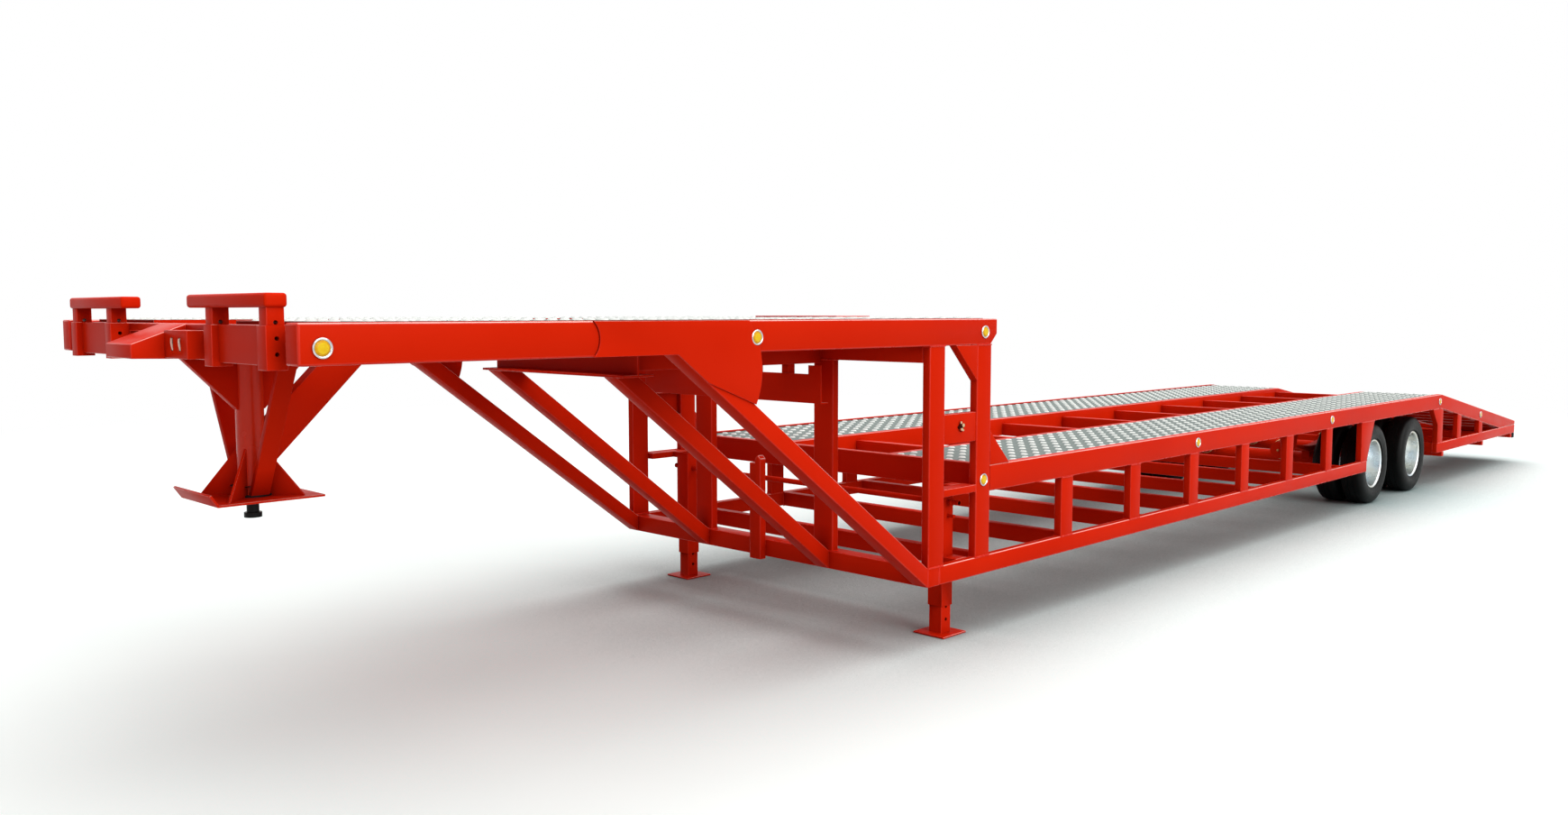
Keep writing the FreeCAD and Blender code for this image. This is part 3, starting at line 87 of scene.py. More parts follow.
FILL_STRENGTH, WHITE_STRENGTH, LAMP_TINT = 0.09, 1.0, (1.0, 0.985, 0.96)
surround = bpy.data.worlds.new("studio_surround")
surround.use_nodes = True
scene.world = surround
sky = surround.node_tree
sky.nodes.clear()
fill = sky.nodes.new("ShaderNodeBackground")
fill.inputs["Color"].default_value = (0.96, 0.98, 1.0, 1.0)
fill.inputs["Strength"].default_value = FILL_STRENGTH
white = sky.nodes.new("ShaderNodeBackground")
white.inputs["Color"].default_value = (1.0, 1.0, 1.0, 1.0)
white.inputs["Strength"].default_value = WHITE_STRENGTH
either_sky = sky.nodes.new("ShaderNodeMixShader")
sky.links.new(seen_directly(sky), either_sky.inputs[0])
sky.links.new(fill.outputs[0], either_sky.inputs[1])
sky.links.new(white.outputs[0], either_sky.inputs[2])
sky.links.new(either_sky.outputs[0], sky.nodes.new("ShaderNodeOutputWorld").inputs["Surface"])

FLOOR_REACH, FLOOR_DROP, FLOOR_BOUNCE = 60.0, 0.001, 0.42
SHADE_REACH, SHADE_SAMPLES = 1.7, 8
SHADE_TONES = ((0.40, (0.30, 0.39, 0.395)), (0.80, (0.80, 0.92, 0.925)), (0.98, (1.02, 1.09, 1.09)))
FADE_FROM, FADE_TO = 9.0, 17.0
floor_mesh = bpy.data.meshes.new("studio_floor")
floor_mesh.from_pydata(
    [(ahead * FLOOR_REACH, left * FLOOR_REACH, 0.0)
     for ahead, left in ((-1, -1), (1, -1), (1, 1), (-1, 1))],
    [], [(0, 1, 2, 3)])
floor = bpy.data.objects.new("studio_floor", floor_mesh)
scene.collection.objects.link(floor)
floor.location.z = -FLOOR_DROP
paper, tree, output = new_material("studio_floor_paper")
# Painted shadow: what the camera sees of the floor darkens, and turns cooler, where ambient occlusion finds
# the trailer close by.
shown = tree.nodes.new("ShaderNodeBsdfDiffuse")
openness = tree.nodes.new("ShaderNodeAmbientOcclusion")
openness.samples = SHADE_SAMPLES
openness.inputs["Distance"].default_value = SHADE_REACH
tree.links.new(tones(tree, openness.outputs["AO"], SHADE_TONES), shown.inputs["Color"])
bounced = tree.nodes.new("ShaderNodeBsdfDiffuse")
bounced.inputs["Color"].default_value = (FLOOR_BOUNCE, FLOOR_BOUNCE, FLOOR_BOUNCE, 1.0)
surface = tree.nodes.new("ShaderNodeMixShader")
horizon = tree.nodes.new("ShaderNodeEmission")
place = tree.nodes.new("ShaderNodeTexCoord")
reach = tree.nodes.new("ShaderNodeVectorMath")
reach.operation = "LENGTH"
fade = tree.nodes.new("ShaderNodeMapRange")
fade.interpolation_type = "SMOOTHSTEP"
fade.inputs["From Min"].default_value = FADE_FROM
fade.inputs["From Max"].default_value = FADE_TO
mask = tree.nodes.new("ShaderNodeMath")
mask.operation = "MULTIPLY"
sheet = tree.nodes.new("ShaderNodeMixShader")
seen = seen_directly(tree)
tree.links.new(seen, surface.inputs[0])
tree.links.new(bounced.outputs[0], surface.inputs[1])
tree.links.new(shown.outputs[0], surface.inputs[2])
tree.links.new(place.outputs["Object"], reach.inputs[0])
tree.links.new(reach.outputs["Value"], fade.inputs["Value"])
tree.links.new(seen, mask.inputs[0])
tree.links.new(fade.outputs[0], mask.inputs[1])
tree.links.new(mask.outputs[0], sheet.inputs[0])
tree.links.new(surface.outputs[0], sheet.inputs[1])
tree.links.new(horizon.outputs[0], sheet.inputs[2])
tree.links.new(sheet.outputs[0], output.inputs["Surface"])
floor_mesh.materials.append(paper)

LAMPS = (("overhead_key", 2.60, 95, (0.05, -0.16, -0.98)), ("side_key", 1.25, 34, (-0.03, -0.93, -0.36)),
         ("front_fill", 0.10, 20, (-0.72, -0.66, -0.20)), ("back_fill", 0.30, 60, (0.30, 0.70, -0.64)))
for name, energy, softness, aim in LAMPS:
    lamp = bpy.data.lights.new(name, "SUN")
    lamp.energy = energy
    lamp.angle = math.radians(softness)
    lamp.color = LAMP_TINT
    stand = bpy.data.objects.new(name, lamp)
    scene.collection.objects.link(stand)
    stand.rotation_euler = Vector(aim).to_track_quat("-Z", "Y").to_euler()

STANDPOINT, LINE_OF_SIGHT = (9.310, 5.215, 1.833), (-0.71395, -0.69583, -0.07812)
viewer = bpy.data.cameras.new("viewer")
viewer.sensor_fit = "HORIZONTAL"
viewer.sensor_width = 36.0
viewer.lens = 27.72
viewer.clip_end = 200.0
camera = bpy.data.objects.new("viewer", viewer)
scene.collection.objects.link(camera)
camera.location = STANDPOINT
camera.rotation_euler = Vector(LINE_OF_SIGHT).to_track_quat("-Z", "Y").to_euler()
scene.camera = camera


# The low frame: box-section sills with cross tubes between them, all mitred,
# welded and blasted, then sprayed with one coat of gloss red enamel.
def grain(tree, scale, detail=2.0, roughness=0.5, stretch=(1.0, 1.0, 1.0)):
    """Noise in the trailer's own metres, 0 to 1, stretched along the axes given."""
    spot = tree.nodes.new("ShaderNodeTexCoord")
    turn = tree.nodes.new("ShaderNodeMapping")
    turn.inputs["Scale"].default_value = stretch
    noise = tree.nodes.new("ShaderNodeTexNoise")
    noise.inputs["Scale"].default_value = scale
    noise.inputs["Detail"].default_value = detail
    noise.inputs["Roughness"].default_value = roughness
    tree.links.new(spot.outputs["Object"], turn.inputs["Vector"])
    tree.links.new(turn.outputs["Vector"], noise.inputs["Vector"])
    return noise.outputs["Fac"]


def between(tree, factor, low, high):
    """The noise's usual run of 0.3 to 0.7, spread over low to high."""
    run = tree.nodes.new("ShaderNodeMapRange")
    run.inputs["From Min"].default_value = 0.3
    run.inputs["From Max"].default_value = 0.7
    run.inputs["To Min"].default_value = low
    run.inputs["To Max"].default_value = high
    tree.links.new(factor, run.inputs["Value"])
    return run.outputs["Result"]


CORNER_SHADE_SAMPLES, CORNER_SHADE_SHARE = 6, 0.6


def finish_of(name, colours, scale, rough, metal=0.0, ior=1.5, coat=0.0, coat_rough=0.1,
              ripple=(60.0, 0.05, 0.001), stretch=(1.0, 1.0, 1.0), painted_shade=0.0):
    """A procedural finish: its tone from a broad noise, its gloss from a finer one, and its
    ripple, as (scale, strength, depth in metres), from the finest. The last argument is how
    far out, in metres, the colour is darkened in corners and creases: painted shade."""
    material, tree, output = new_material(name)
    shader = tree.nodes.new("ShaderNodeBsdfPrincipled")
    scale_of_ripple, strength, depth = ripple
    bump = tree.nodes.new("ShaderNodeBump")
    bump.inputs["Strength"].default_value = strength
    bump.inputs["Distance"].default_value = depth
    shader.inputs["Metallic"].default_value = metal
    shader.inputs["IOR"].default_value = ior
    shader.inputs["Coat Weight"].default_value = coat
    shader.inputs["Coat Roughness"].default_value = coat_rough
    tree.links.new(grain(tree, scale_of_ripple, 2.0, 0.5, stretch), bump.inputs["Height"])
    colour = tones(tree, grain(tree, scale, 4.0, 0.55, stretch), colours)
    # Painted shade: an ambient occlusion node darkens the colour in corners and creases.
    if painted_shade:
        corner = tree.nodes.new("ShaderNodeAmbientOcclusion")
        corner.samples = CORNER_SHADE_SAMPLES
        corner.inputs["Distance"].default_value = painted_shade
        corner_shaded = tree.nodes.new("ShaderNodeMix")
        corner_shaded.data_type = "RGBA"
        corner_shaded.inputs["Factor"].default_value = CORNER_SHADE_SHARE
        tree.links.new(colour, corner.inputs["Color"])
        tree.links.new(colour, corner_shaded.inputs["A"])
        tree.links.new(corner.outputs["Color"], corner_shaded.inputs["B"])
        colour = corner_shaded.outputs["Result"]
    tree.links.new(colour, shader.inputs["Base Color"])
    tree.links.new(between(tree, grain(tree, scale * 4.0, 3.0), *rough), shader.inputs["Roughness"])
    tree.links.new(bump.outputs["Normal"], shader.inputs["Normal"])
    tree.links.new(shader.outputs["BSDF"], output.inputs["Surface"])
    return material


# The red enamel: its colour within 0.12 m of corners and creases is darkened as painted shade.
red_enamel = finish_of(
    "red_enamel", ((0.30, (0.700, 0.0165, 0.0015)), (0.50, (0.745, 0.0195, 0.0025)),
                   (0.70, (0.785, 0.0230, 0.0035))),
    0.9, (0.30, 0.38), ior=1.08, ripple=(26.0, 0.05, 0.001), painted_shade=0.12)
# A lighter, pinker and glossier copy of the red enamel; its lighter colour is a painted highlight on eased
# edges, weld beads and ladder grips.
red_enamel_edge_highlight = finish_of(
    "red_enamel_edge_highlight", ((0.30, (0.760, 0.020, 0.006)), (0.55, (0.800, 0.030, 0.012)),
                        (0.75, (0.840, 0.045, 0.022))),
    3.0, (0.24, 0.34), ior=1.25, ripple=(26.0, 0.04, 0.001))
# A pale pink, coated copy of the red: a painted highlight for the eased strips that face up and to the
# side.
red_enamel_top_highlight = finish_of(
    "red_enamel_top_highlight", ((0.30, (0.900, 0.340, 0.280)), (0.55, (0.930, 0.460, 0.400)),
                         (0.75, (0.950, 0.580, 0.520))),
    3.0, (0.24, 0.34), ior=1.5, coat=1.0, coat_rough=0.25, ripple=(26.0, 0.04, 0.001))
FRAME_BODY = "trailer_frame"
SAME_CORNER, SAME_PLANE, SHARP = 0.00002, math.radians(1.0), math.radians(40)
ROOM_TO_ROUND, LEANING = 2.2, 0.5
FLAT, UNDERSIDE, EDGE_HIGHLIGHT, TOP_HIGHLIGHT = range(4)


def thinness(edge):
    """The thickness of the thinner of the two faces that meet at an edge."""
    return min(2.0 * face.calc_area() / max(face.calc_perimeter(), 1e-6) for face in edge.link_faces)


def linked(name, shape, finishes, body, smooth_under=35, flat=()):
    """Turn a finished bmesh into a piece of the trailer, on its body and in its slot."""
    mesh = bpy.data.meshes.new(name)
    bmesh.ops.recalc_face_normals(shape, faces=shape.faces)
    for face in shape.faces:
        face.smooth = face.material_index not in flat
    shape.to_mesh(mesh)
    shape.free()
    mesh.set_sharp_from_angle(angle=math.radians(smooth_under))
    for finish in finishes:
        mesh.materials.append(finish)
    piece = bpy.data.objects.new(name, mesh)
    scene.collection.objects.link(piece)
    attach(piece, body)
    return piece


def merged(node):
    """The CAD node's own shape, with the corners that its triangles share made one."""
    shape = bmesh.new()
    shape.from_mesh(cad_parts[node].data)
    bmesh.ops.remove_doubles(shape, verts=shape.verts, dist=SAME_CORNER)
    return shape


def flattened(shape):
    """Join the triangles of each flat face."""
    bmesh.ops.dissolve_limit(shape, angle_limit=SAME_PLANE, verts=shape.verts, edges=shape.edges)
    return shape


def eased(node, radius, finishes=None, body=FRAME_BODY, rows=3, sort_faces=None,
          shape=None):
    """The CAD node again, or a shape in its place, with the outer edges eased as paint leaves them.
    With the red finishes the eased strips take a lighter copy of the red, a painted highlight,
    and those facing up and to the side a pale pink copy, also a painted highlight.
    """
    if shape is None:
        shape = flattened(merged(node))
    for face in shape.faces:
        face.material_index = FLAT
    if sort_faces:
        sort_faces(shape)
    sharp = [edge for edge in shape.edges if len(edge.link_faces) == 2 and edge.is_convex
             and edge.calc_face_angle(0.0) > SHARP and thinness(edge) > ROOM_TO_ROUND * radius]
    rounded = bmesh.ops.bevel(shape, geom=sharp, offset=radius, offset_type="OFFSET", segments=rows,
                              profile=0.5, affect="EDGES", clamp_overlap=True)
    for face in rounded["faces"]:
        if face.material_index == FLAT:
            # Painted highlight: strips facing up and to the side take the pale copy, the others the lighter
            # one.
            takes_top_highlight = face.normal.z > LEANING and abs(face.normal.y) > LEANING
            face.material_index = TOP_HIGHLIGHT if takes_top_highlight else EDGE_HIGHLIGHT
    red = (red_enamel, red_enamel, red_enamel_edge_highlight, red_enamel_top_highlight)
    piece = linked(node + "_painted", shape, finishes or red, body, flat=(FLAT, UNDERSIDE))
    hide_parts(node)


for node, radius in (("sills", 0.008), ("floor_tubes", 0.005), ("front_crossbeams", 0.005)):
    eased(node, radius)


# The truss sides and the deck: posts between sill and rail, channel rails along
# both edges of each runway, crossmembers between them, all fillet welded.
for node, radius in (("truss_posts", 0.004), ("side_rails", 0.0075), ("inner_deck_rails", 0.004),
                     ("deck_crossmembers", 0.003), ("tail_carrier", 0.003)):
    eased(node, radius)


def islands(node):
    """A node's separate solids, as (low corner of the box, high corner, all the corners)."""
    shape = merged(node)
    left = set(shape.verts)
    found = []
    while left:
        waiting = [left.pop()]
        group = list(waiting)
        while waiting:
            corner = waiting.pop()
            for edge in corner.link_edges:
                other = edge.other_vert(corner)
                if other in left:
                    left.remove(other)
                    waiting.append(other)
                    group.append(other)
        spots = [vert.co.copy() for vert in group]
        low = Vector([min(spot[axis] for spot in spots) for axis in range(3)])
        high = Vector([max(spot[axis] for spot in spots) for axis in range(3)])
        found.append((low, high, spots))
    shape.free()
    return sorted(found, key=lambda item: tuple(round(value, 4) for value in item[0]))


def circle(count, radius, shift=0.0):
    """Places evenly round a circle, the first one turned on by a share of the pitch."""
    turns = [math.tau * (place + shift) / count for place in range(count)]
    return [(radius * math.cos(turn), radius * math.sin(turn)) for turn in turns]


def in_pairs(row, closed=False):
    """Each item with the next, and the last with the first where the row is closed."""
    return list(zip(row, row[1:] + row[:1] if closed else row[1:]))


def skin(shape, rings, closed=False, finish=0):
    """Faces from each ring of corners to the next."""
    for ring, following in in_pairs(rings, closed):
        for (near, after), (far, far_after) in zip(in_pairs(ring, True), in_pairs(following, True)):
            shape.faces.new((near, after, far_after, far)).material_index = finish


def add_rod(shape, places, radii, turn, sides, finish=0):
    """A rod with flat ends through places on a line, with a radius at each."""
    rings = [[shape.verts.new(place + turn @ Vector((near, far, 0.0)))
              for near, far in circle(sides, radius)] for place, radius in zip(places, radii)]
    skin(shape, rings, finish=finish)
    for end in (list(reversed(rings[0])), rings[-1]):
        shape.faces.new(end).material_index = finish


def add_bead(shape, points, radius, step=0.012, swell=0.18, closed=False):
    """A fillet weld's bead along straight runs, with the ripple of each puddle."""
    for start, end in in_pairs(points, closed):
        line = end - start
        rows = max(2, int(line.length / step))
        add_rod(shape, [start + line * (row / rows) for row in range(rows + 1)],
                [radius * (1.0 + swell * (-1) ** row) for row in range(rows + 1)],
                line.to_track_quat("Z", "Y"), BEAD_SIDES)


def foot_of(corners, level, up):
    """The four corners of a post's section at one of its flat ends, set at a height."""
    end = [corner for corner in corners if abs(corner.z - level) < LEVEL]
    if len(end) < 4:
        return []
    rear, front = min(corner.x for corner in end), max(corner.x for corner in end)
    right, left = min(corner.y for corner in end), max(corner.y for corner in end)
    return [Vector((rear, right, up)), Vector((front, right, up)),
            Vector((front, left, up)), Vector((rear, left, up))]


WELD, BEAD_SIDES, LEVEL = 0.0035, 6, 0.002
welds = bmesh.new()
for low, high, corners in islands("truss_posts"):
    for level in (low.z, high.z):
        add_bead(welds, foot_of(corners, level, level), WELD, closed=True)
for low, high, _ in islands("floor_tubes"):
    for sideways in (low.y, high.y):
        round_tube = ((low.x, high.z), (low.x, low.z), (high.x, low.z), (high.x, high.z))
        add_bead(welds, [Vector((along, sideways, up)) for along, up in round_tube], WELD)
# The weld beads wear the lighter copy of the red: painted highlight.
linked("truss_welds", welds, (red_enamel_edge_highlight,), FRAME_BODY)


# The runways: hot-dip galvanised steel pans between their rails, with pressed
# anti-slip buttons in rows, bright on top and painted red underneath.
zinc_sheet = finish_of(
    "galvanised_sheet", ((0.30, (0.140, 0.174, 0.164)), (0.50, (0.172, 0.210, 0.198)),
                         (0.70, (0.210, 0.250, 0.238))),
    22.0, (0.45, 0.60), ior=1.2, ripple=(90.0, 0.12, 0.001))
# The buttons wear a far lighter copy of the galvanised zinc: a painted highlight on their raised flanks.
zinc_button_highlight = finish_of(
    "galvanised_button_highlight", ((0.30, (0.720, 0.750, 0.730)), (0.55, (0.820, 0.850, 0.830)),
                          (0.75, (0.920, 0.940, 0.920))),
    40.0, (0.30, 0.45), ior=1.4, ripple=(180.0, 0.10, 0.0005))
BUTTON_ALONG, BUTTON_ACROSS, BUTTON_SIDES = 0.130, 0.092, 12
BUTTON_FOOT, BUTTON_TOP, BUTTON_HOLE, BUTTON_HIGH, BUTTON_WIDE = 0.0215, 0.0150, 0.004, 0.007, 1.15
SHEET_SKIN = 0.001
PEAK, TAIL_SLOPE = -4.745, 0.1576


def top_only(shape):
    """Zinc on the faces that look up, red on the rest."""
    for face in shape.faces:
        face.material_index = FLAT if face.normal.z > LEANING else UNDERSIDE


def add_button(shape, middle, tilt):
    """One pressed button: a low oval cone with a drained hole in its top."""
    steps = ((BUTTON_FOOT, -SHEET_SKIN), (BUTTON_TOP, BUTTON_HIGH), (BUTTON_HOLE, BUTTON_HIGH),
             (BUTTON_HOLE, SHEET_SKIN))
    rings = [[shape.verts.new(middle + Vector((along, BUTTON_WIDE * across, high + tilt * along)))
              for along, across in circle(BUTTON_SIDES, radius)] for radius, high in steps]
    skin(shape, rings)
    shape.faces.new(rings[-1]).material_index = 1


zinc_over_red = (zinc_sheet, red_enamel, zinc_sheet, zinc_sheet)
for node, tail_fall in (("neck_runways", 0.0), ("deck_runways", TAIL_SLOPE)):
    eased(node, 0.001, zinc_over_red, rows=1, sort_faces=top_only)
    for side, (low, high, _) in zip(("right", "left"), islands(node)):
        buttons = bmesh.new()
        rows = int((high.x - low.x) / BUTTON_ALONG)
        columns = int((high.y - low.y) / BUTTON_ACROSS)
        for row in range(rows):
            along = high.x - (row + 0.5) * (high.x - low.x) / rows
            tilt = tail_fall if along < PEAK else 0.0
            up = high.z - tail_fall * max(0.0, PEAK - along)
            for column in range(columns):
                across = low.y + (column + 0.5) * (high.y - low.y) / columns
                add_button(buttons, Vector((along, across, up)), tilt)
        linked("%s_buttons_%s" % (node, side), buttons, (zinc_button_highlight, zinc_sheet), FRAME_BODY,
               60)


# The neck: deep side beams with doubler plates lapped over the tops of the outer
# braces, crossmembers, headers and a strap tray below, all welded and painted red.
BEAM_CHAMFER, BEAM_WIDTH = 0.060, 0.100
beam_low, beam_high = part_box("neck_side_beams")
beam_side = ((beam_low.x, beam_high.z), (beam_low.x, beam_low.z + BEAM_CHAMFER),
             (beam_low.x + BEAM_CHAMFER, beam_low.z), (beam_high.x, beam_low.z), (beam_high.x, beam_high.z))
beams = bmesh.new()
for right, left in ((beam_high.y - BEAM_WIDTH, beam_high.y), (beam_low.y, beam_low.y + BEAM_WIDTH)):
    ends = [[beams.verts.new((along, across, up)) for along, up in beam_side] for across in (right, left)]
    skin(beams, ends)
    for end in ends:
        beams.faces.new(end)
bmesh.ops.recalc_face_normals(beams, faces=beams.faces)
eased("neck_side_beams", 0.008, shape=beams)
for node, radius in (("neck_doubler_plates", 0.0015), ("neck_crossmembers", 0.003),
                     ("neck_headers", 0.003), ("strap_tray", 0.001), ("neck_bridge_plate", 0.003),
                     ("neck_braces", 0.005), ("neck_posts", 0.006), ("frame_gussets", 0.0015),
                     ("king_frame", 0.003)):
    eased(node, radius)
# Painted shadow: a near-black line along the doubler plates' edges on the beams, where their step throws a
# thin shadow.
painted_shadow_dark = finish_of(
    "seam_shadow", ((0.30, (0.030, 0.002, 0.001)), (0.55, (0.060, 0.003, 0.002)),
                    (0.75, (0.100, 0.005, 0.003))),
    30.0, (0.6, 0.8), ior=1.1, ripple=(120.0, 0.1, 0.001))
SHADOW_LINE_WIDTH, UNBROKEN, ON_THE_BEAM, ABOVE_THE_EDGE = 0.0016, 0.5, 0.0005, 0.001
plates = merged("neck_doubler_plates")
painted_shade = bmesh.new()
for edge in plates.edges:
    ends = [vert.co.copy() for vert in edge.verts]
    on_beam = all(abs(abs(end.y) - beam_high.y) < ON_THE_BEAM and end.z > beam_low.z + ABOVE_THE_EDGE
                  for end in ends)
    if on_beam and edge.calc_face_angle(0.0) > SHARP:
        add_bead(painted_shade, ends, SHADOW_LINE_WIDTH, step=UNBROKEN, swell=0.0)
plates.free()
linked("doubler_shadow_lines", painted_shade, (painted_shadow_dark,), FRAME_BODY)

sill_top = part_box("sills")[1].z
post_welds = bmesh.new()
for _, high, corners in islands("neck_posts"):
    for up in (sill_top, high.z):
        add_bead(post_welds, foot_of(corners, high.z, up), WELD, closed=True)
# The weld beads wear the lighter copy of the red: painted highlight.
linked("neck_welds", post_welds, (red_enamel_edge_highlight,), FRAME_BODY)


# The coupling: a two-inch kingpin under a pressed plate, on a heavy tube braced
# to the nose; the pin is bare forged steel, black with grease.
for node, radius in (("coupler_plate", 0.0025), ("king_tube_braces", 0.002), ("nose_crossmember", 0.005),
                     ("nose_wedge", 0.004), ("air_line_box", 0.002)):
    eased(node, radius)
# The king tube's red is a lighter copy of the enamel with its tone noise drawn out into upright streaks:
# painted highlight and painted reflection. Its weld beads take the lighter edge copy, also painted
# highlight.
tube_enamel_highlit = finish_of(
    "tube_enamel_highlit", ((0.30, (0.800, 0.022, 0.003)), (0.50, (0.860, 0.034, 0.008)),
                    (0.70, (0.900, 0.050, 0.014))),
    1.2, (0.22, 0.30), ior=1.32, ripple=(18.0, 0.06, 0.002), stretch=(1.0, 1.0, 0.3))
greased_steel = finish_of(
    "greased_steel", ((0.30, (0.004, 0.004, 0.004)), (0.60, (0.010, 0.010, 0.010)),
                      (0.80, (0.022, 0.020, 0.018))),
    18.0, (0.30, 0.45), ior=1.2, ripple=(120.0, 0.1, 0.001))


def add_turned(shape, profile, middle, sides, closed=True, finish=0, about="Y"):
    """Turn a profile of (radius, along) points about the X, Y or Z line through the middle."""
    rings = []
    for radius, along in profile:
        ring = []
        for near, far in circle(sides, radius):
            offset = {"X": (along, near, far), "Y": (near, along, far), "Z": (near, far, along)}[about]
            ring.append(shape.verts.new(middle + Vector(offset)))
        rings.append(ring)
    skin(shape, rings, closed, finish)


def finished(node, finish):
    """Put a finish straight on the CAD node, where its own shape is already the real one."""
    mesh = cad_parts[node].data
    mesh.materials.clear()
    mesh.materials.append(finish)


TUBE_WALL, TUBE_SIDES, TUBE_WELD, WELD_SINK = 0.008, 72, 0.004, 0.001
DARK_RING_REACH, DARK_RING_SLOPE, DARK_RING_THIN, DARK_RING_DEEP, DARK_RING_SIDES = 0.030, 0.002, 0.0002, 0.0020, 48
tube_low, tube_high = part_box("king_tube")
tube_radius = (tube_high.x - tube_low.x) / 2
tube_bore = tube_radius - TUBE_WALL
tube_middle = Vector(((tube_low.x + tube_high.x) / 2, 0.0, 0.0))
plate_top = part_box("coupler_plate")[1].z
tube = bmesh.new()
add_turned(tube, ((tube_bore, tube_low.z), (tube_radius, tube_low.z), (tube_radius, tube_high.z),
                  (tube_bore, tube_high.z)), tube_middle, TUBE_SIDES, about="Z")
for up in (tube_high.z - WELD_SINK, plate_top + WELD_SINK):
    add_turned(tube, [(tube_radius + out, up + rise) for out, rise in circle(8, TUBE_WELD)],
               tube_middle, TUBE_SIDES, finish=1, about="Z")
welded = linked("king_tube_welded", tube, (tube_enamel_highlit, red_enamel_edge_highlight), FRAME_BODY)
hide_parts("king_tube")
# A thin near-black ring lies on the plate round the tube's foot.
dark_ring = bmesh.new()
add_turned(dark_ring, ((tube_radius + TUBE_WELD, plate_top + DARK_RING_THIN),
                    (tube_radius + DARK_RING_REACH, plate_top + DARK_RING_THIN),
                    (tube_radius + DARK_RING_REACH - DARK_RING_SLOPE, plate_top + DARK_RING_DEEP),
                    (tube_radius + TUBE_WELD, plate_top + DARK_RING_DEEP)),
           tube_middle, DARK_RING_SIDES, about="Z")
linked("coupler_dark_ring", dark_ring, (greased_steel,), FRAME_BODY)
finished("kingpin", greased_steel)
hooks = bmesh.new()
line_box_low, line_box_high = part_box("air_line_box")
# The curled hooks are drawn as geometry; their pale pink colour is a painted highlight.
hook_painted_highlight = finish_of(
    "hook_painted_highlight", ((0.30, (0.80, 0.46, 0.36)), (0.55, (0.90, 0.62, 0.52)), (0.75, (0.96, 0.80, 0.72))),
    60.0, (0.20, 0.35), ior=1.45, ripple=(200.0, 0.1, 0.0005))
HOOK_STEEL, HOOK_WIDE, HOOK_HIGH, HOOK_SUNK, HOOK_BULGE = 0.0045, 0.008, 0.022, 0.006, 0.004
HOOK_STEPS, HOOK_PITCH, SLOT_MIDDLE = 8, 0.004, 1.711
for slot_at in (1 / 3, 2 / 3):
    across = line_box_low.y + (line_box_high.y - line_box_low.y) * slot_at
    curl = []
    for step in range(HOOK_STEPS + 1):
        share = step / HOOK_STEPS
        curl.append(Vector((line_box_high.x - HOOK_SUNK + HOOK_BULGE * math.sin(math.pi * share),
                            across + HOOK_WIDE * math.cos(math.pi * (0.15 + 1.2 * share)),
                            SLOT_MIDDLE + HOOK_HIGH * math.sin(math.pi * (1.35 * share - 0.65)))))
    add_bead(hooks, curl, HOOK_STEEL, step=HOOK_PITCH, swell=0.0)
linked("air_line_hooks", hooks, (hook_painted_highlight,), FRAME_BODY)


# The wheel stops at the nose: rounded box bars on two posts each, pinned in
# sockets through cross holes.
BAR_BOTTOM, BAR_ROUND, POST_TENON = 1.852, 0.012, 0.003
for side in ("left", "right"):
    node = "wheel_stop_" + side
    low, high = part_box(node)
    stop = merged(node)
    bar_faces = [face for face in stop.faces
                 if all(vert.co.z > BAR_BOTTOM - 0.0005 for vert in face.verts)]
    bmesh.ops.delete(stop, geom=bar_faces, context="FACES")
    tops = bmesh.ops.holes_fill(stop, edges=[edge for edge in stop.edges if edge.is_boundary])
    for vert in {vert for face in tops["faces"] for vert in face.verts}:
        vert.co.z += POST_TENON
    flattened(stop)
    middle = Vector(((low.x + high.x) / 2, (low.y + high.y) / 2, (BAR_BOTTOM + high.z) / 2))
    size_of_bar = Vector((high.x - low.x, high.y - low.y, high.z - BAR_BOTTOM))
    bar = bmesh.ops.create_cube(stop, size=1.0, matrix=Matrix.LocRotScale(middle, None, size_of_bar))
    around = {edge for vert in bar["verts"] for edge in vert.link_edges}
    bmesh.ops.bevel(stop, geom=list(around), offset=BAR_ROUND, offset_type="OFFSET", segments=4,
                    profile=0.5, affect="EDGES")
    eased(node, 0.002, body=node, shape=stop)
eased("wheel_stop_sockets", 0.002)


# The drop legs: square tube in square sleeves with a welded foot, held by a
# plunger in one of the pin holes, and the climbing steps beside them.
for side in ("left", "right"):
    eased("drop_leg_" + side, 0.003, body="drop_leg_" + side)
for node, radius in (("leg_sleeves", 0.003), ("ladder_steps", 0.002)):
    eased(node, radius)


def add_peg(shape, start, reach, radius, sides, finish=0):
    """A round or hexagon bar with flat ends, from a point as far as it reaches."""
    reach = Vector(reach)
    add_rod(shape, (start, start + reach), (radius, radius), reach.to_track_quat("Z", "Y"), sides, finish)


brass = finish_of(
    "latch_brass", ((0.30, (0.50, 0.34, 0.16)), (0.55, (0.66, 0.50, 0.30)), (0.75, (0.82, 0.72, 0.58))),
    80.0, (0.25, 0.40), metal=1.0, ripple=(260.0, 0.2, 0.0005))
GRIP_PITCH, GRIP_HIGH, GRIP_LONG, GRIP_INSET, GRIP_SUNK = 0.014, 0.005, 0.010, 0.016, 0.001
LATCH_ALONG, LATCH_UP, LATCH_SHADE_SIZE, LATCH_SUNK, LATCH_PROUD = 3.880, 1.205, 0.027, 0.004, 0.0008
LATCH_PEGS = ((-0.008, 0.010, 0.011, 0.011), (0.007, -0.011, 0.012, 0.0085),
              (0.006, 0.026, 0.007, 0.0070), (-0.014, -0.017, 0.007, 0.006))
HANDLE_ALONG, HANDLE_ACROSS, HANDLE_UP = 3.795, 1.140, 0.765
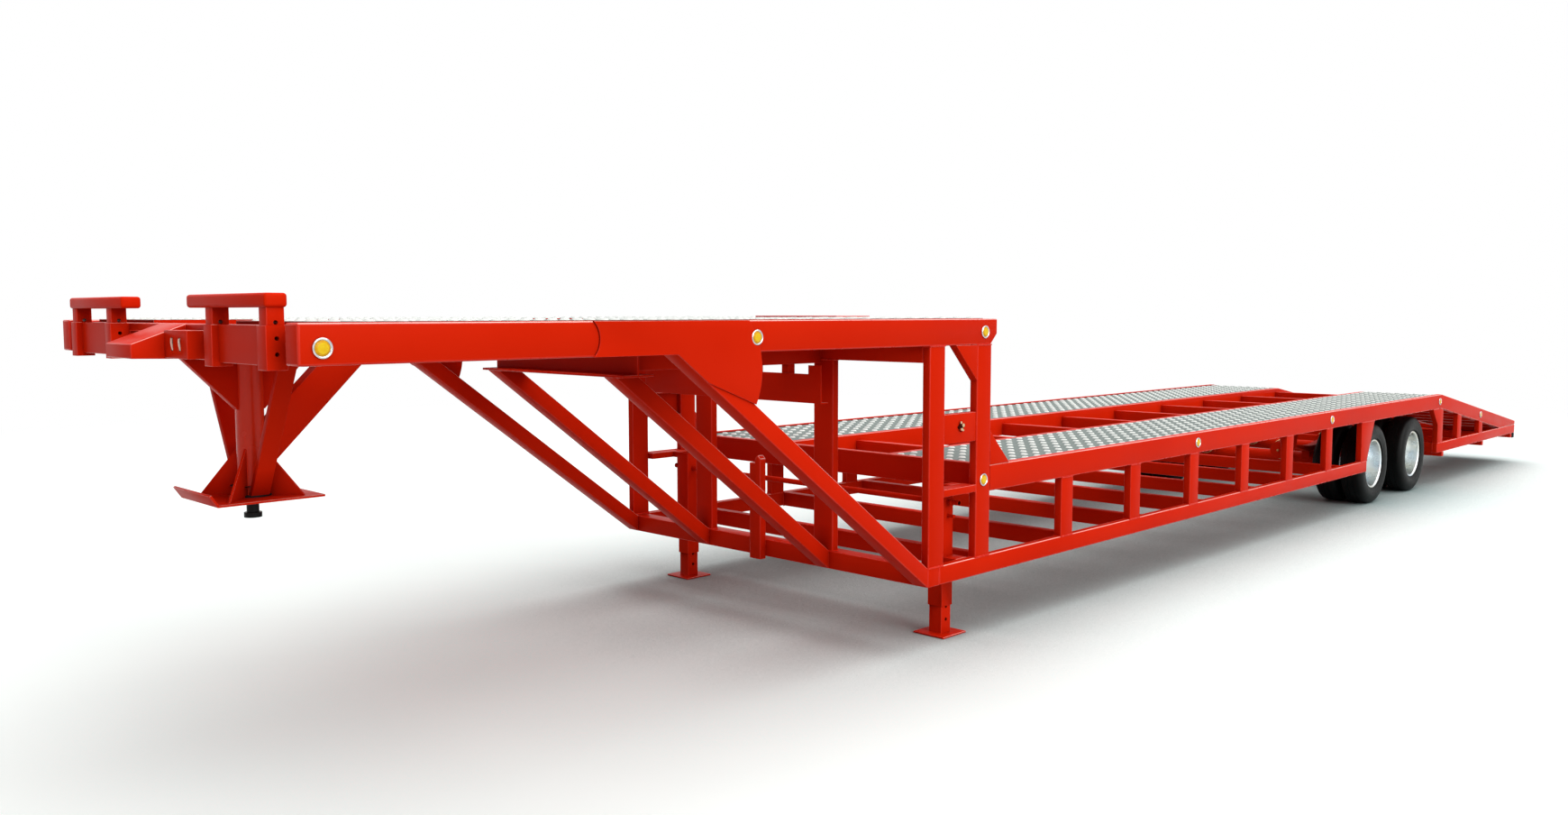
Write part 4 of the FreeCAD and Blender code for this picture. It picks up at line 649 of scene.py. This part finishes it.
HANDLE_STEPS = ((0.0, 0.078, 0.0125), (0.026, 0.032, 0.021), (0.068, 0.078, 0.016))
riser_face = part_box("ladder_steps")[1].y
grips, latches, handles = bmesh.new(), bmesh.new(), bmesh.new()
for low, high, _ in islands("ladder_steps"):
    out = 1 if low.y > 0 else -1
    inner = max(abs(low.y), abs(high.y)) - GRIP_INSET
    for tooth in range(int((high.x - low.x) / GRIP_PITCH)):
        along = low.x + (tooth + 0.5) * GRIP_PITCH
        foot = Vector((along, out * inner, high.z - GRIP_SUNK))
        add_peg(grips, foot, (0, out * GRIP_LONG, 0), GRIP_HIGH, 6)
for out in (-1, 1):
    centre = Vector((LATCH_ALONG, out * riser_face, LATCH_UP))
    # A near-black square, barely proud of the riser, stands in for the latch's recess: painted shade.
    shade_foot = centre - Vector((0, out * LATCH_SUNK, 0))
    add_peg(latches, shade_foot, (0, out * (LATCH_SUNK + LATCH_PROUD), 0), LATCH_SHADE_SIZE, 4)
    for across, up, reach, radius in LATCH_PEGS:
        add_peg(latches, centre + Vector((across, 0, up)), (0, out * reach, 0), radius, 10, 1)
    grip = Vector((HANDLE_ALONG, out * HANDLE_ACROSS, HANDLE_UP))
    for start, end, radius in HANDLE_STEPS:
        add_peg(handles, grip + Vector((0, out * start, 0)), (0, out * (end - start), 0), radius, 20)
# The grips wear the lighter copy of the red: painted highlight.
linked("ladder_grips", grips, (red_enamel_edge_highlight,), FRAME_BODY)
linked("ladder_latches", latches, (painted_shadow_dark, brass), FRAME_BODY, 30)
linked("leg_handles", handles, (red_enamel,), FRAME_BODY, 30)
finished("leg_shaft", red_enamel)


# The running gear: bogie rails with spring hangers, leaf springs, round axles
# and brake chambers, all sprayed red with the frame.
for node, radius in (("bogie_rails", 0.003), ("leaf_springs", 0.002), ("axle_front", 0.002),
                     ("axle_rear", 0.002)):
    eased(node, radius)
CHAMBER_PLACE, CHAMBER_UP, CLAMP_BACK, CLAMP_SIDES = 0.400, 0.473, 0.100, 40
CHAMBER_BANDS = ((CLAMP_BACK, 0.006, 0.094), (0.004, 0.003, 0.070))
CLAMP_BOLT_OUT, CLAMP_BOLT_HALF, CLAMP_BOLT, CLAMP_BOLT_TURNS = 0.102, 0.018, 0.007, (0.4, 3.5)
PORT_LONG, PORT_SIZE, PORT_SUNK = 0.016, 0.012, 0.001
gold_zinc = finish_of(
    "gold_zinc", ((0.30, (0.62, 0.40, 0.16)), (0.55, (0.76, 0.54, 0.26)), (0.75, (0.88, 0.70, 0.42))),
    40.0, (0.22, 0.36), metal=1.0, ripple=(200.0, 0.1, 0.0005))
clamps = bmesh.new()
for word in ("front", "rear"):
    low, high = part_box("axle_" + word)
    for across in (-CHAMBER_PLACE, CHAMBER_PLACE):
        for back, thick, band in CHAMBER_BANDS:
            add_turned(clamps, [(band + out, along) for out, along in circle(8, thick)],
                       Vector((high.x - back, across, CHAMBER_UP)), CLAMP_SIDES, about="X")
        for turn in CLAMP_BOLT_TURNS:
            bolt = Vector((high.x - CLAMP_BACK - CLAMP_BOLT_HALF, across + CLAMP_BOLT_OUT * math.cos(turn),
                           CHAMBER_UP + CLAMP_BOLT_OUT * math.sin(turn)))
            add_peg(clamps, bolt, (2 * CLAMP_BOLT_HALF, 0, 0), CLAMP_BOLT, 10)
        port = Vector((high.x - PORT_SUNK, across, CHAMBER_UP))
        add_peg(clamps, port, (PORT_LONG, 0, 0), PORT_SIZE, 6)
linked("chamber_clamps", clamps, (gold_zinc,), FRAME_BODY, 30)


# The tyres: smooth low-platform radials, black, with rounded shoulders, shallow
# ribs, and raised fitting lines on the wall.
rubber = finish_of(
    "tyre_rubber", ((0.30, (0.0030, 0.0030, 0.0030)), (0.60, (0.0045, 0.0045, 0.0045)),
                    (0.80, (0.007, 0.007, 0.007))),
    9.0, (0.42, 0.52), ior=1.22, ripple=(240.0, 0.10, 0.001))
TYRE_SIDES, SHOULDER_STEPS, WALL_STEPS = 96, 12, 6
GROOVE_NEAR, GROOVE_FAR, GROOVE_DEEP, GROOVE_BEVEL = 0.021, 0.028, 0.004, 0.0015
TREAD_EDGE, WIDEST = 0.054, 0.300
BEAD_RADIUS, BEAD_HALF, BEAD_LIP, FULLNESS = 0.2235, 0.0797, 0.234, 0.9


def tyre_profile(radius, half):
    """Half of a tyre's outline from the middle of the tread to the bead, then mirrored."""
    points = [(radius, 0.0), (radius, GROOVE_NEAR), (radius - GROOVE_DEEP, GROOVE_NEAR + GROOVE_BEVEL),
              (radius - GROOVE_DEEP, GROOVE_FAR - GROOVE_BEVEL), (radius, GROOVE_FAR)]
    for step in range(SHOULDER_STEPS + 1):
        turn = math.pi / 2 * step / SHOULDER_STEPS
        points.append((WIDEST + (radius - WIDEST) * math.cos(turn) ** FULLNESS,
                       TREAD_EDGE + (half - TREAD_EDGE) * math.sin(turn) ** FULLNESS))
    for step in range(1, WALL_STEPS):
        turn = math.pi / 2 * step / WALL_STEPS
        points.append((WIDEST - (WIDEST - BEAD_LIP) * math.sin(turn),
                       half - (half - BEAD_HALF) * (1.0 - math.cos(turn))))
        if step == WALL_STEPS // 2:
            last_radius, last_side = points[-1]
            points.append((last_radius - 0.002, last_side + 0.0005))
            points.append((last_radius - 0.005, last_side + 0.0003))
    points += [(BEAD_LIP, BEAD_HALF), (BEAD_RADIUS, BEAD_HALF)]
    return points + [(radius, -across) for radius, across in reversed(points[1:])]


for side in ("left", "right"):
    for place in ("front", "rear"):
        node = "tyres_%s_%s" % (place, side)
        shape = bmesh.new()
        for low, high, _ in islands(node):
            profile = tyre_profile((high.z - low.z) / 2, (high.y - low.y) / 2)
            add_turned(shape, profile, (low + high) / 2, TYRE_SIDES)
        piece = linked(node + "_moulded", shape, (rubber,), "wheels_%s_%s" % (place, side))
        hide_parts(node)


# The wheels: deep-dished polished alloy discs bolted back to back, on a hub with
# a bolted cap, and the cast brake drum behind them.
# Its blue and gold tints are painted reflections on the polished alloy's grey.
polished_reflection_tinted = finish_of(
    "polished_alloy", ((0.30, (0.64, 0.74, 0.82)), (0.50, (0.78, 0.83, 0.86)),
                       (0.72, (0.82, 0.77, 0.66))),
    3.0, (0.24, 0.32), metal=1.0, ripple=(18.0, 0.03, 0.001))
cast_iron = finish_of(
    "cast_iron", ((0.30, (0.020, 0.020, 0.021)), (0.55, (0.035, 0.034, 0.033)),
                  (0.75, (0.055, 0.048, 0.042))),
    30.0, (0.5, 0.7), ior=1.3, ripple=(150.0, 0.3, 0.001))
nut_steel = finish_of(
    "nut_steel", ((0.30, (0.60, 0.61, 0.62)), (0.55, (0.70, 0.70, 0.69)), (0.75, (0.78, 0.75, 0.68))),
    60.0, (0.25, 0.4), metal=1.0, ripple=(300.0, 0.1, 0.0005))
DISC_FACE, MATING_FACE = 1.009, 1.000
RIM = ((0.084, MATING_FACE), (0.192, MATING_FACE), (0.208, 1.012), (0.214, 1.030), (0.2150, 1.0375),
       (0.2330, 1.0375), (0.2300, 1.0405), (0.2235, 1.0425), (0.2230, 1.1985), (0.2240, 1.2030),
       (0.2275, 1.2055), (0.2320, 1.2060), (0.2330, 1.2080), (0.2310, 1.2095), (0.2260, 1.2098),
       (0.2210, 1.2080), (0.2170, 1.2040), (0.2145, 1.1970), (0.2135, 1.1850), (0.2120, 1.1500),
       (0.2090, 1.1250), (0.2080, 1.0850), (0.2060, 1.0600), (0.2000, 1.0380), (0.1900, 1.0220),
       (0.1760, 1.0130), (0.1600, 1.0095), (0.084, DISC_FACE))
HUB = ((0.040, 0.705), (0.084, 0.705), (0.084, 1.020), (0.082, 1.030), (0.076, 1.036), (0.072, 1.050),
       (0.066, 1.062), (0.054, 1.070), (0.038, 1.074), (0.020, 1.075), (0.012, 1.0755), (0.012, 1.050),
       (0.040, 1.040))
DRUM = ((0.084, 0.866), (0.171, 0.866), (0.171, 0.705), (0.176, 0.702), (0.180, 0.705), (0.180, 0.875),
        (0.084, 0.875))
WHEEL_SIDES, DRILL_HALF = 96, 0.05
NUTS, NUT_CIRCLE, NUT_SIZE, NUT_HIGH = 10, 0.1125, 0.0125, 0.016
NUT_STEPS = ((NUT_SIZE + 0.003, 0.003, 20), (NUT_SIZE, NUT_HIGH, 6), (0.0075, 0.022, 12))
CAP_BOLTS, CAP_BOLT_CIRCLE, CAP_FACE, CAP_BOLT_HIGH, CAP_BOLT_SIZE = 8, 0.058, 1.064, 0.008, 0.0055
HAND_HOLES, HAND_HOLE, HAND_HOLE_CIRCLE = 5, 0.024, 0.150


def drilled_mesh(piece, cutter_shape):
    """Cut the drill's solids out of a piece for good, and clear the drill away."""
    drill_mesh = bpy.data.meshes.new("drill")
    bmesh.ops.recalc_face_normals(cutter_shape, faces=cutter_shape.faces)
    cutter_shape.to_mesh(drill_mesh)
    cutter_shape.free()
    drill = bpy.data.objects.new("drill", drill_mesh)
    scene.collection.objects.link(drill)
    cut = piece.modifiers.new("holes", "BOOLEAN")
    cut.object = drill
    cut.solver = "EXACT"
    bpy.context.view_layer.update()
    done = bpy.data.meshes.new_from_object(piece.evaluated_get(bpy.context.evaluated_depsgraph_get()))
    piece.modifiers.remove(cut)
    piece.data = done
    bpy.data.objects.remove(drill)


for side, sign in (("left", 1), ("right", -1)):
    for place in ("front", "rear"):
        node = "wheels_%s_%s" % (place, side)
        low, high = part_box(node)
        middle = Vector(((low.x + high.x) / 2, 0.0, (low.z + high.z) / 2))
        shape, drill, nuts = bmesh.new(), bmesh.new(), bmesh.new()
        inner_rim = [(radius, 2 * MATING_FACE - along) for radius, along in RIM]
        for profile, finish in ((RIM, 0), (inner_rim, 0), (HUB, 0), (DRUM, 1)):
            turned = [(radius, sign * along) for radius, along in profile]
            add_turned(shape, turned, middle, WHEEL_SIDES, finish=finish)
        bmesh.ops.remove_doubles(shape, verts=shape.verts, dist=0.00001)
        for ahead, up in circle(HAND_HOLES, HAND_HOLE_CIRCLE):
            start = middle + Vector((ahead, sign * (MATING_FACE - DRILL_HALF), up))
            add_peg(drill, start, (0, sign * 2 * DRILL_HALF, 0), HAND_HOLE, 24)
        piece = linked(node + "_polished", shape, (polished_reflection_tinted, cast_iron), node)
        drilled_mesh(piece, drill)
        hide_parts(node)
        for ahead, up in circle(NUTS, NUT_CIRCLE, 0.5):
            for radius, length, sides in NUT_STEPS:
                centre = middle + Vector((ahead, sign * DISC_FACE, up))
                add_peg(nuts, centre, (0, sign * length, 0), radius, sides)
        for ahead, up in circle(CAP_BOLTS, CAP_BOLT_CIRCLE):
            centre = middle + Vector((ahead, sign * CAP_FACE, up))
            add_peg(nuts, centre, (0, sign * CAP_BOLT_HIGH, 0), CAP_BOLT_SIZE, 6)
        linked(node + "_nuts", nuts, (nut_steel,), node, 30)


# The lamps: amber lenses with a flat bright middle, in thick chromed rings that
# are pressed into the beam and rail.
lamp_chrome = finish_of(
    "lamp_chrome", ((0.30, (0.46, 0.46, 0.47)), (0.60, (0.62, 0.62, 0.63)), (0.80, (0.78, 0.78, 0.78))),
    30.0, (0.14, 0.24), metal=1.0, ripple=(60.0, 0.03, 0.0005))
amber = finish_of(
    "amber_lens", ((0.30, (0.94, 0.58, 0.014)), (0.55, (0.98, 0.66, 0.020)),
                   (0.75, (1.0, 0.72, 0.030))),
    60.0, (0.25, 0.35), ior=1.25, ripple=(180.0, 0.3, 0.001))
amber_deep = finish_of(
    "amber_lens_rim", ((0.30, (0.78, 0.36, 0.004)), (0.55, (0.86, 0.44, 0.006)),
                       (0.75, (0.92, 0.52, 0.010))),
    60.0, (0.20, 0.30), ior=1.3, ripple=(180.0, 0.3, 0.001))
LAMP_RING, LAMP_LENS, LAMP_SIDES = 0.037, 0.0275, 40
RING_PROFILE = ((LAMP_RING, 0.0), (LAMP_RING, 0.003), (LAMP_RING - 0.0015, 0.0065),
                (LAMP_RING - 0.005, 0.0085), (LAMP_LENS + 0.003, 0.0080), (LAMP_LENS, 0.0055),
                (LAMP_LENS, 0.0))
LENS_RIM = ((LAMP_LENS, 0.001), (LAMP_LENS - 0.0005, 0.005), (LAMP_LENS - 0.003, 0.0075),
            (LAMP_LENS - 0.008, 0.0088))
LENS_MIDDLE = ((LAMP_LENS - 0.008, 0.0088), (0.012, 0.0096), (0.0, 0.0098))
rings, lenses = bmesh.new(), bmesh.new()
for low, high, _ in islands("lamp_rings"):
    middle = (low + high) / 2
    out = 1 if middle.y > 0 else -1
    foot = Vector((middle.x, low.y if out > 0 else high.y, middle.z))
    for shape, profile, closed, finish in ((rings, RING_PROFILE, True, 0), (lenses, LENS_RIM, False, 1),
                                           (lenses, LENS_MIDDLE, False, 0)):
        turned = [(radius, out * along) for radius, along in profile]
        add_turned(shape, turned, foot, LAMP_SIDES, closed, finish)
bmesh.ops.remove_doubles(lenses, verts=lenses.verts, dist=0.00001)
chromed = linked("lamp_rings_chromed", rings, (lamp_chrome,), FRAME_BODY)
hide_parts("lamp_rings")
moulded = linked("lamp_lenses_moulded", lenses, (amber, amber_deep), FRAME_BODY)
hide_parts("lamp_lenses")


# The bumper bar across the tail's end: solid black rubber, bolted to the tail
# carrier through counterbored holes.
black_rubber = finish_of(
    "black_rubber", ((0.30, (0.006, 0.006, 0.007)), (0.60, (0.012, 0.012, 0.013)),
                     (0.80, (0.020, 0.019, 0.018))),
    6.0, (0.40, 0.52), ior=1.2, ripple=(90.0, 0.08, 0.001))
eased("rear_bumper", 0.006, (black_rubber,) * 4)
BUMPER_BOLTS, BOLT_DEEP, BOLT_SIZE = 8, 0.010, 0.011
low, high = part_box("rear_bumper")
bolts = bmesh.new()
for bolt in range(BUMPER_BOLTS):
    across = low.y + (bolt + 0.5) * (high.y - low.y) / BUMPER_BOLTS
    foot = Vector((low.x + 0.0005 + BOLT_DEEP, across, (low.z + high.z) / 2))
    add_peg(bolts, foot, (-BOLT_DEEP, 0, 0), BOLT_SIZE, 6)
linked("bumper_bolts", bolts, (nut_steel,), FRAME_BODY, 30)
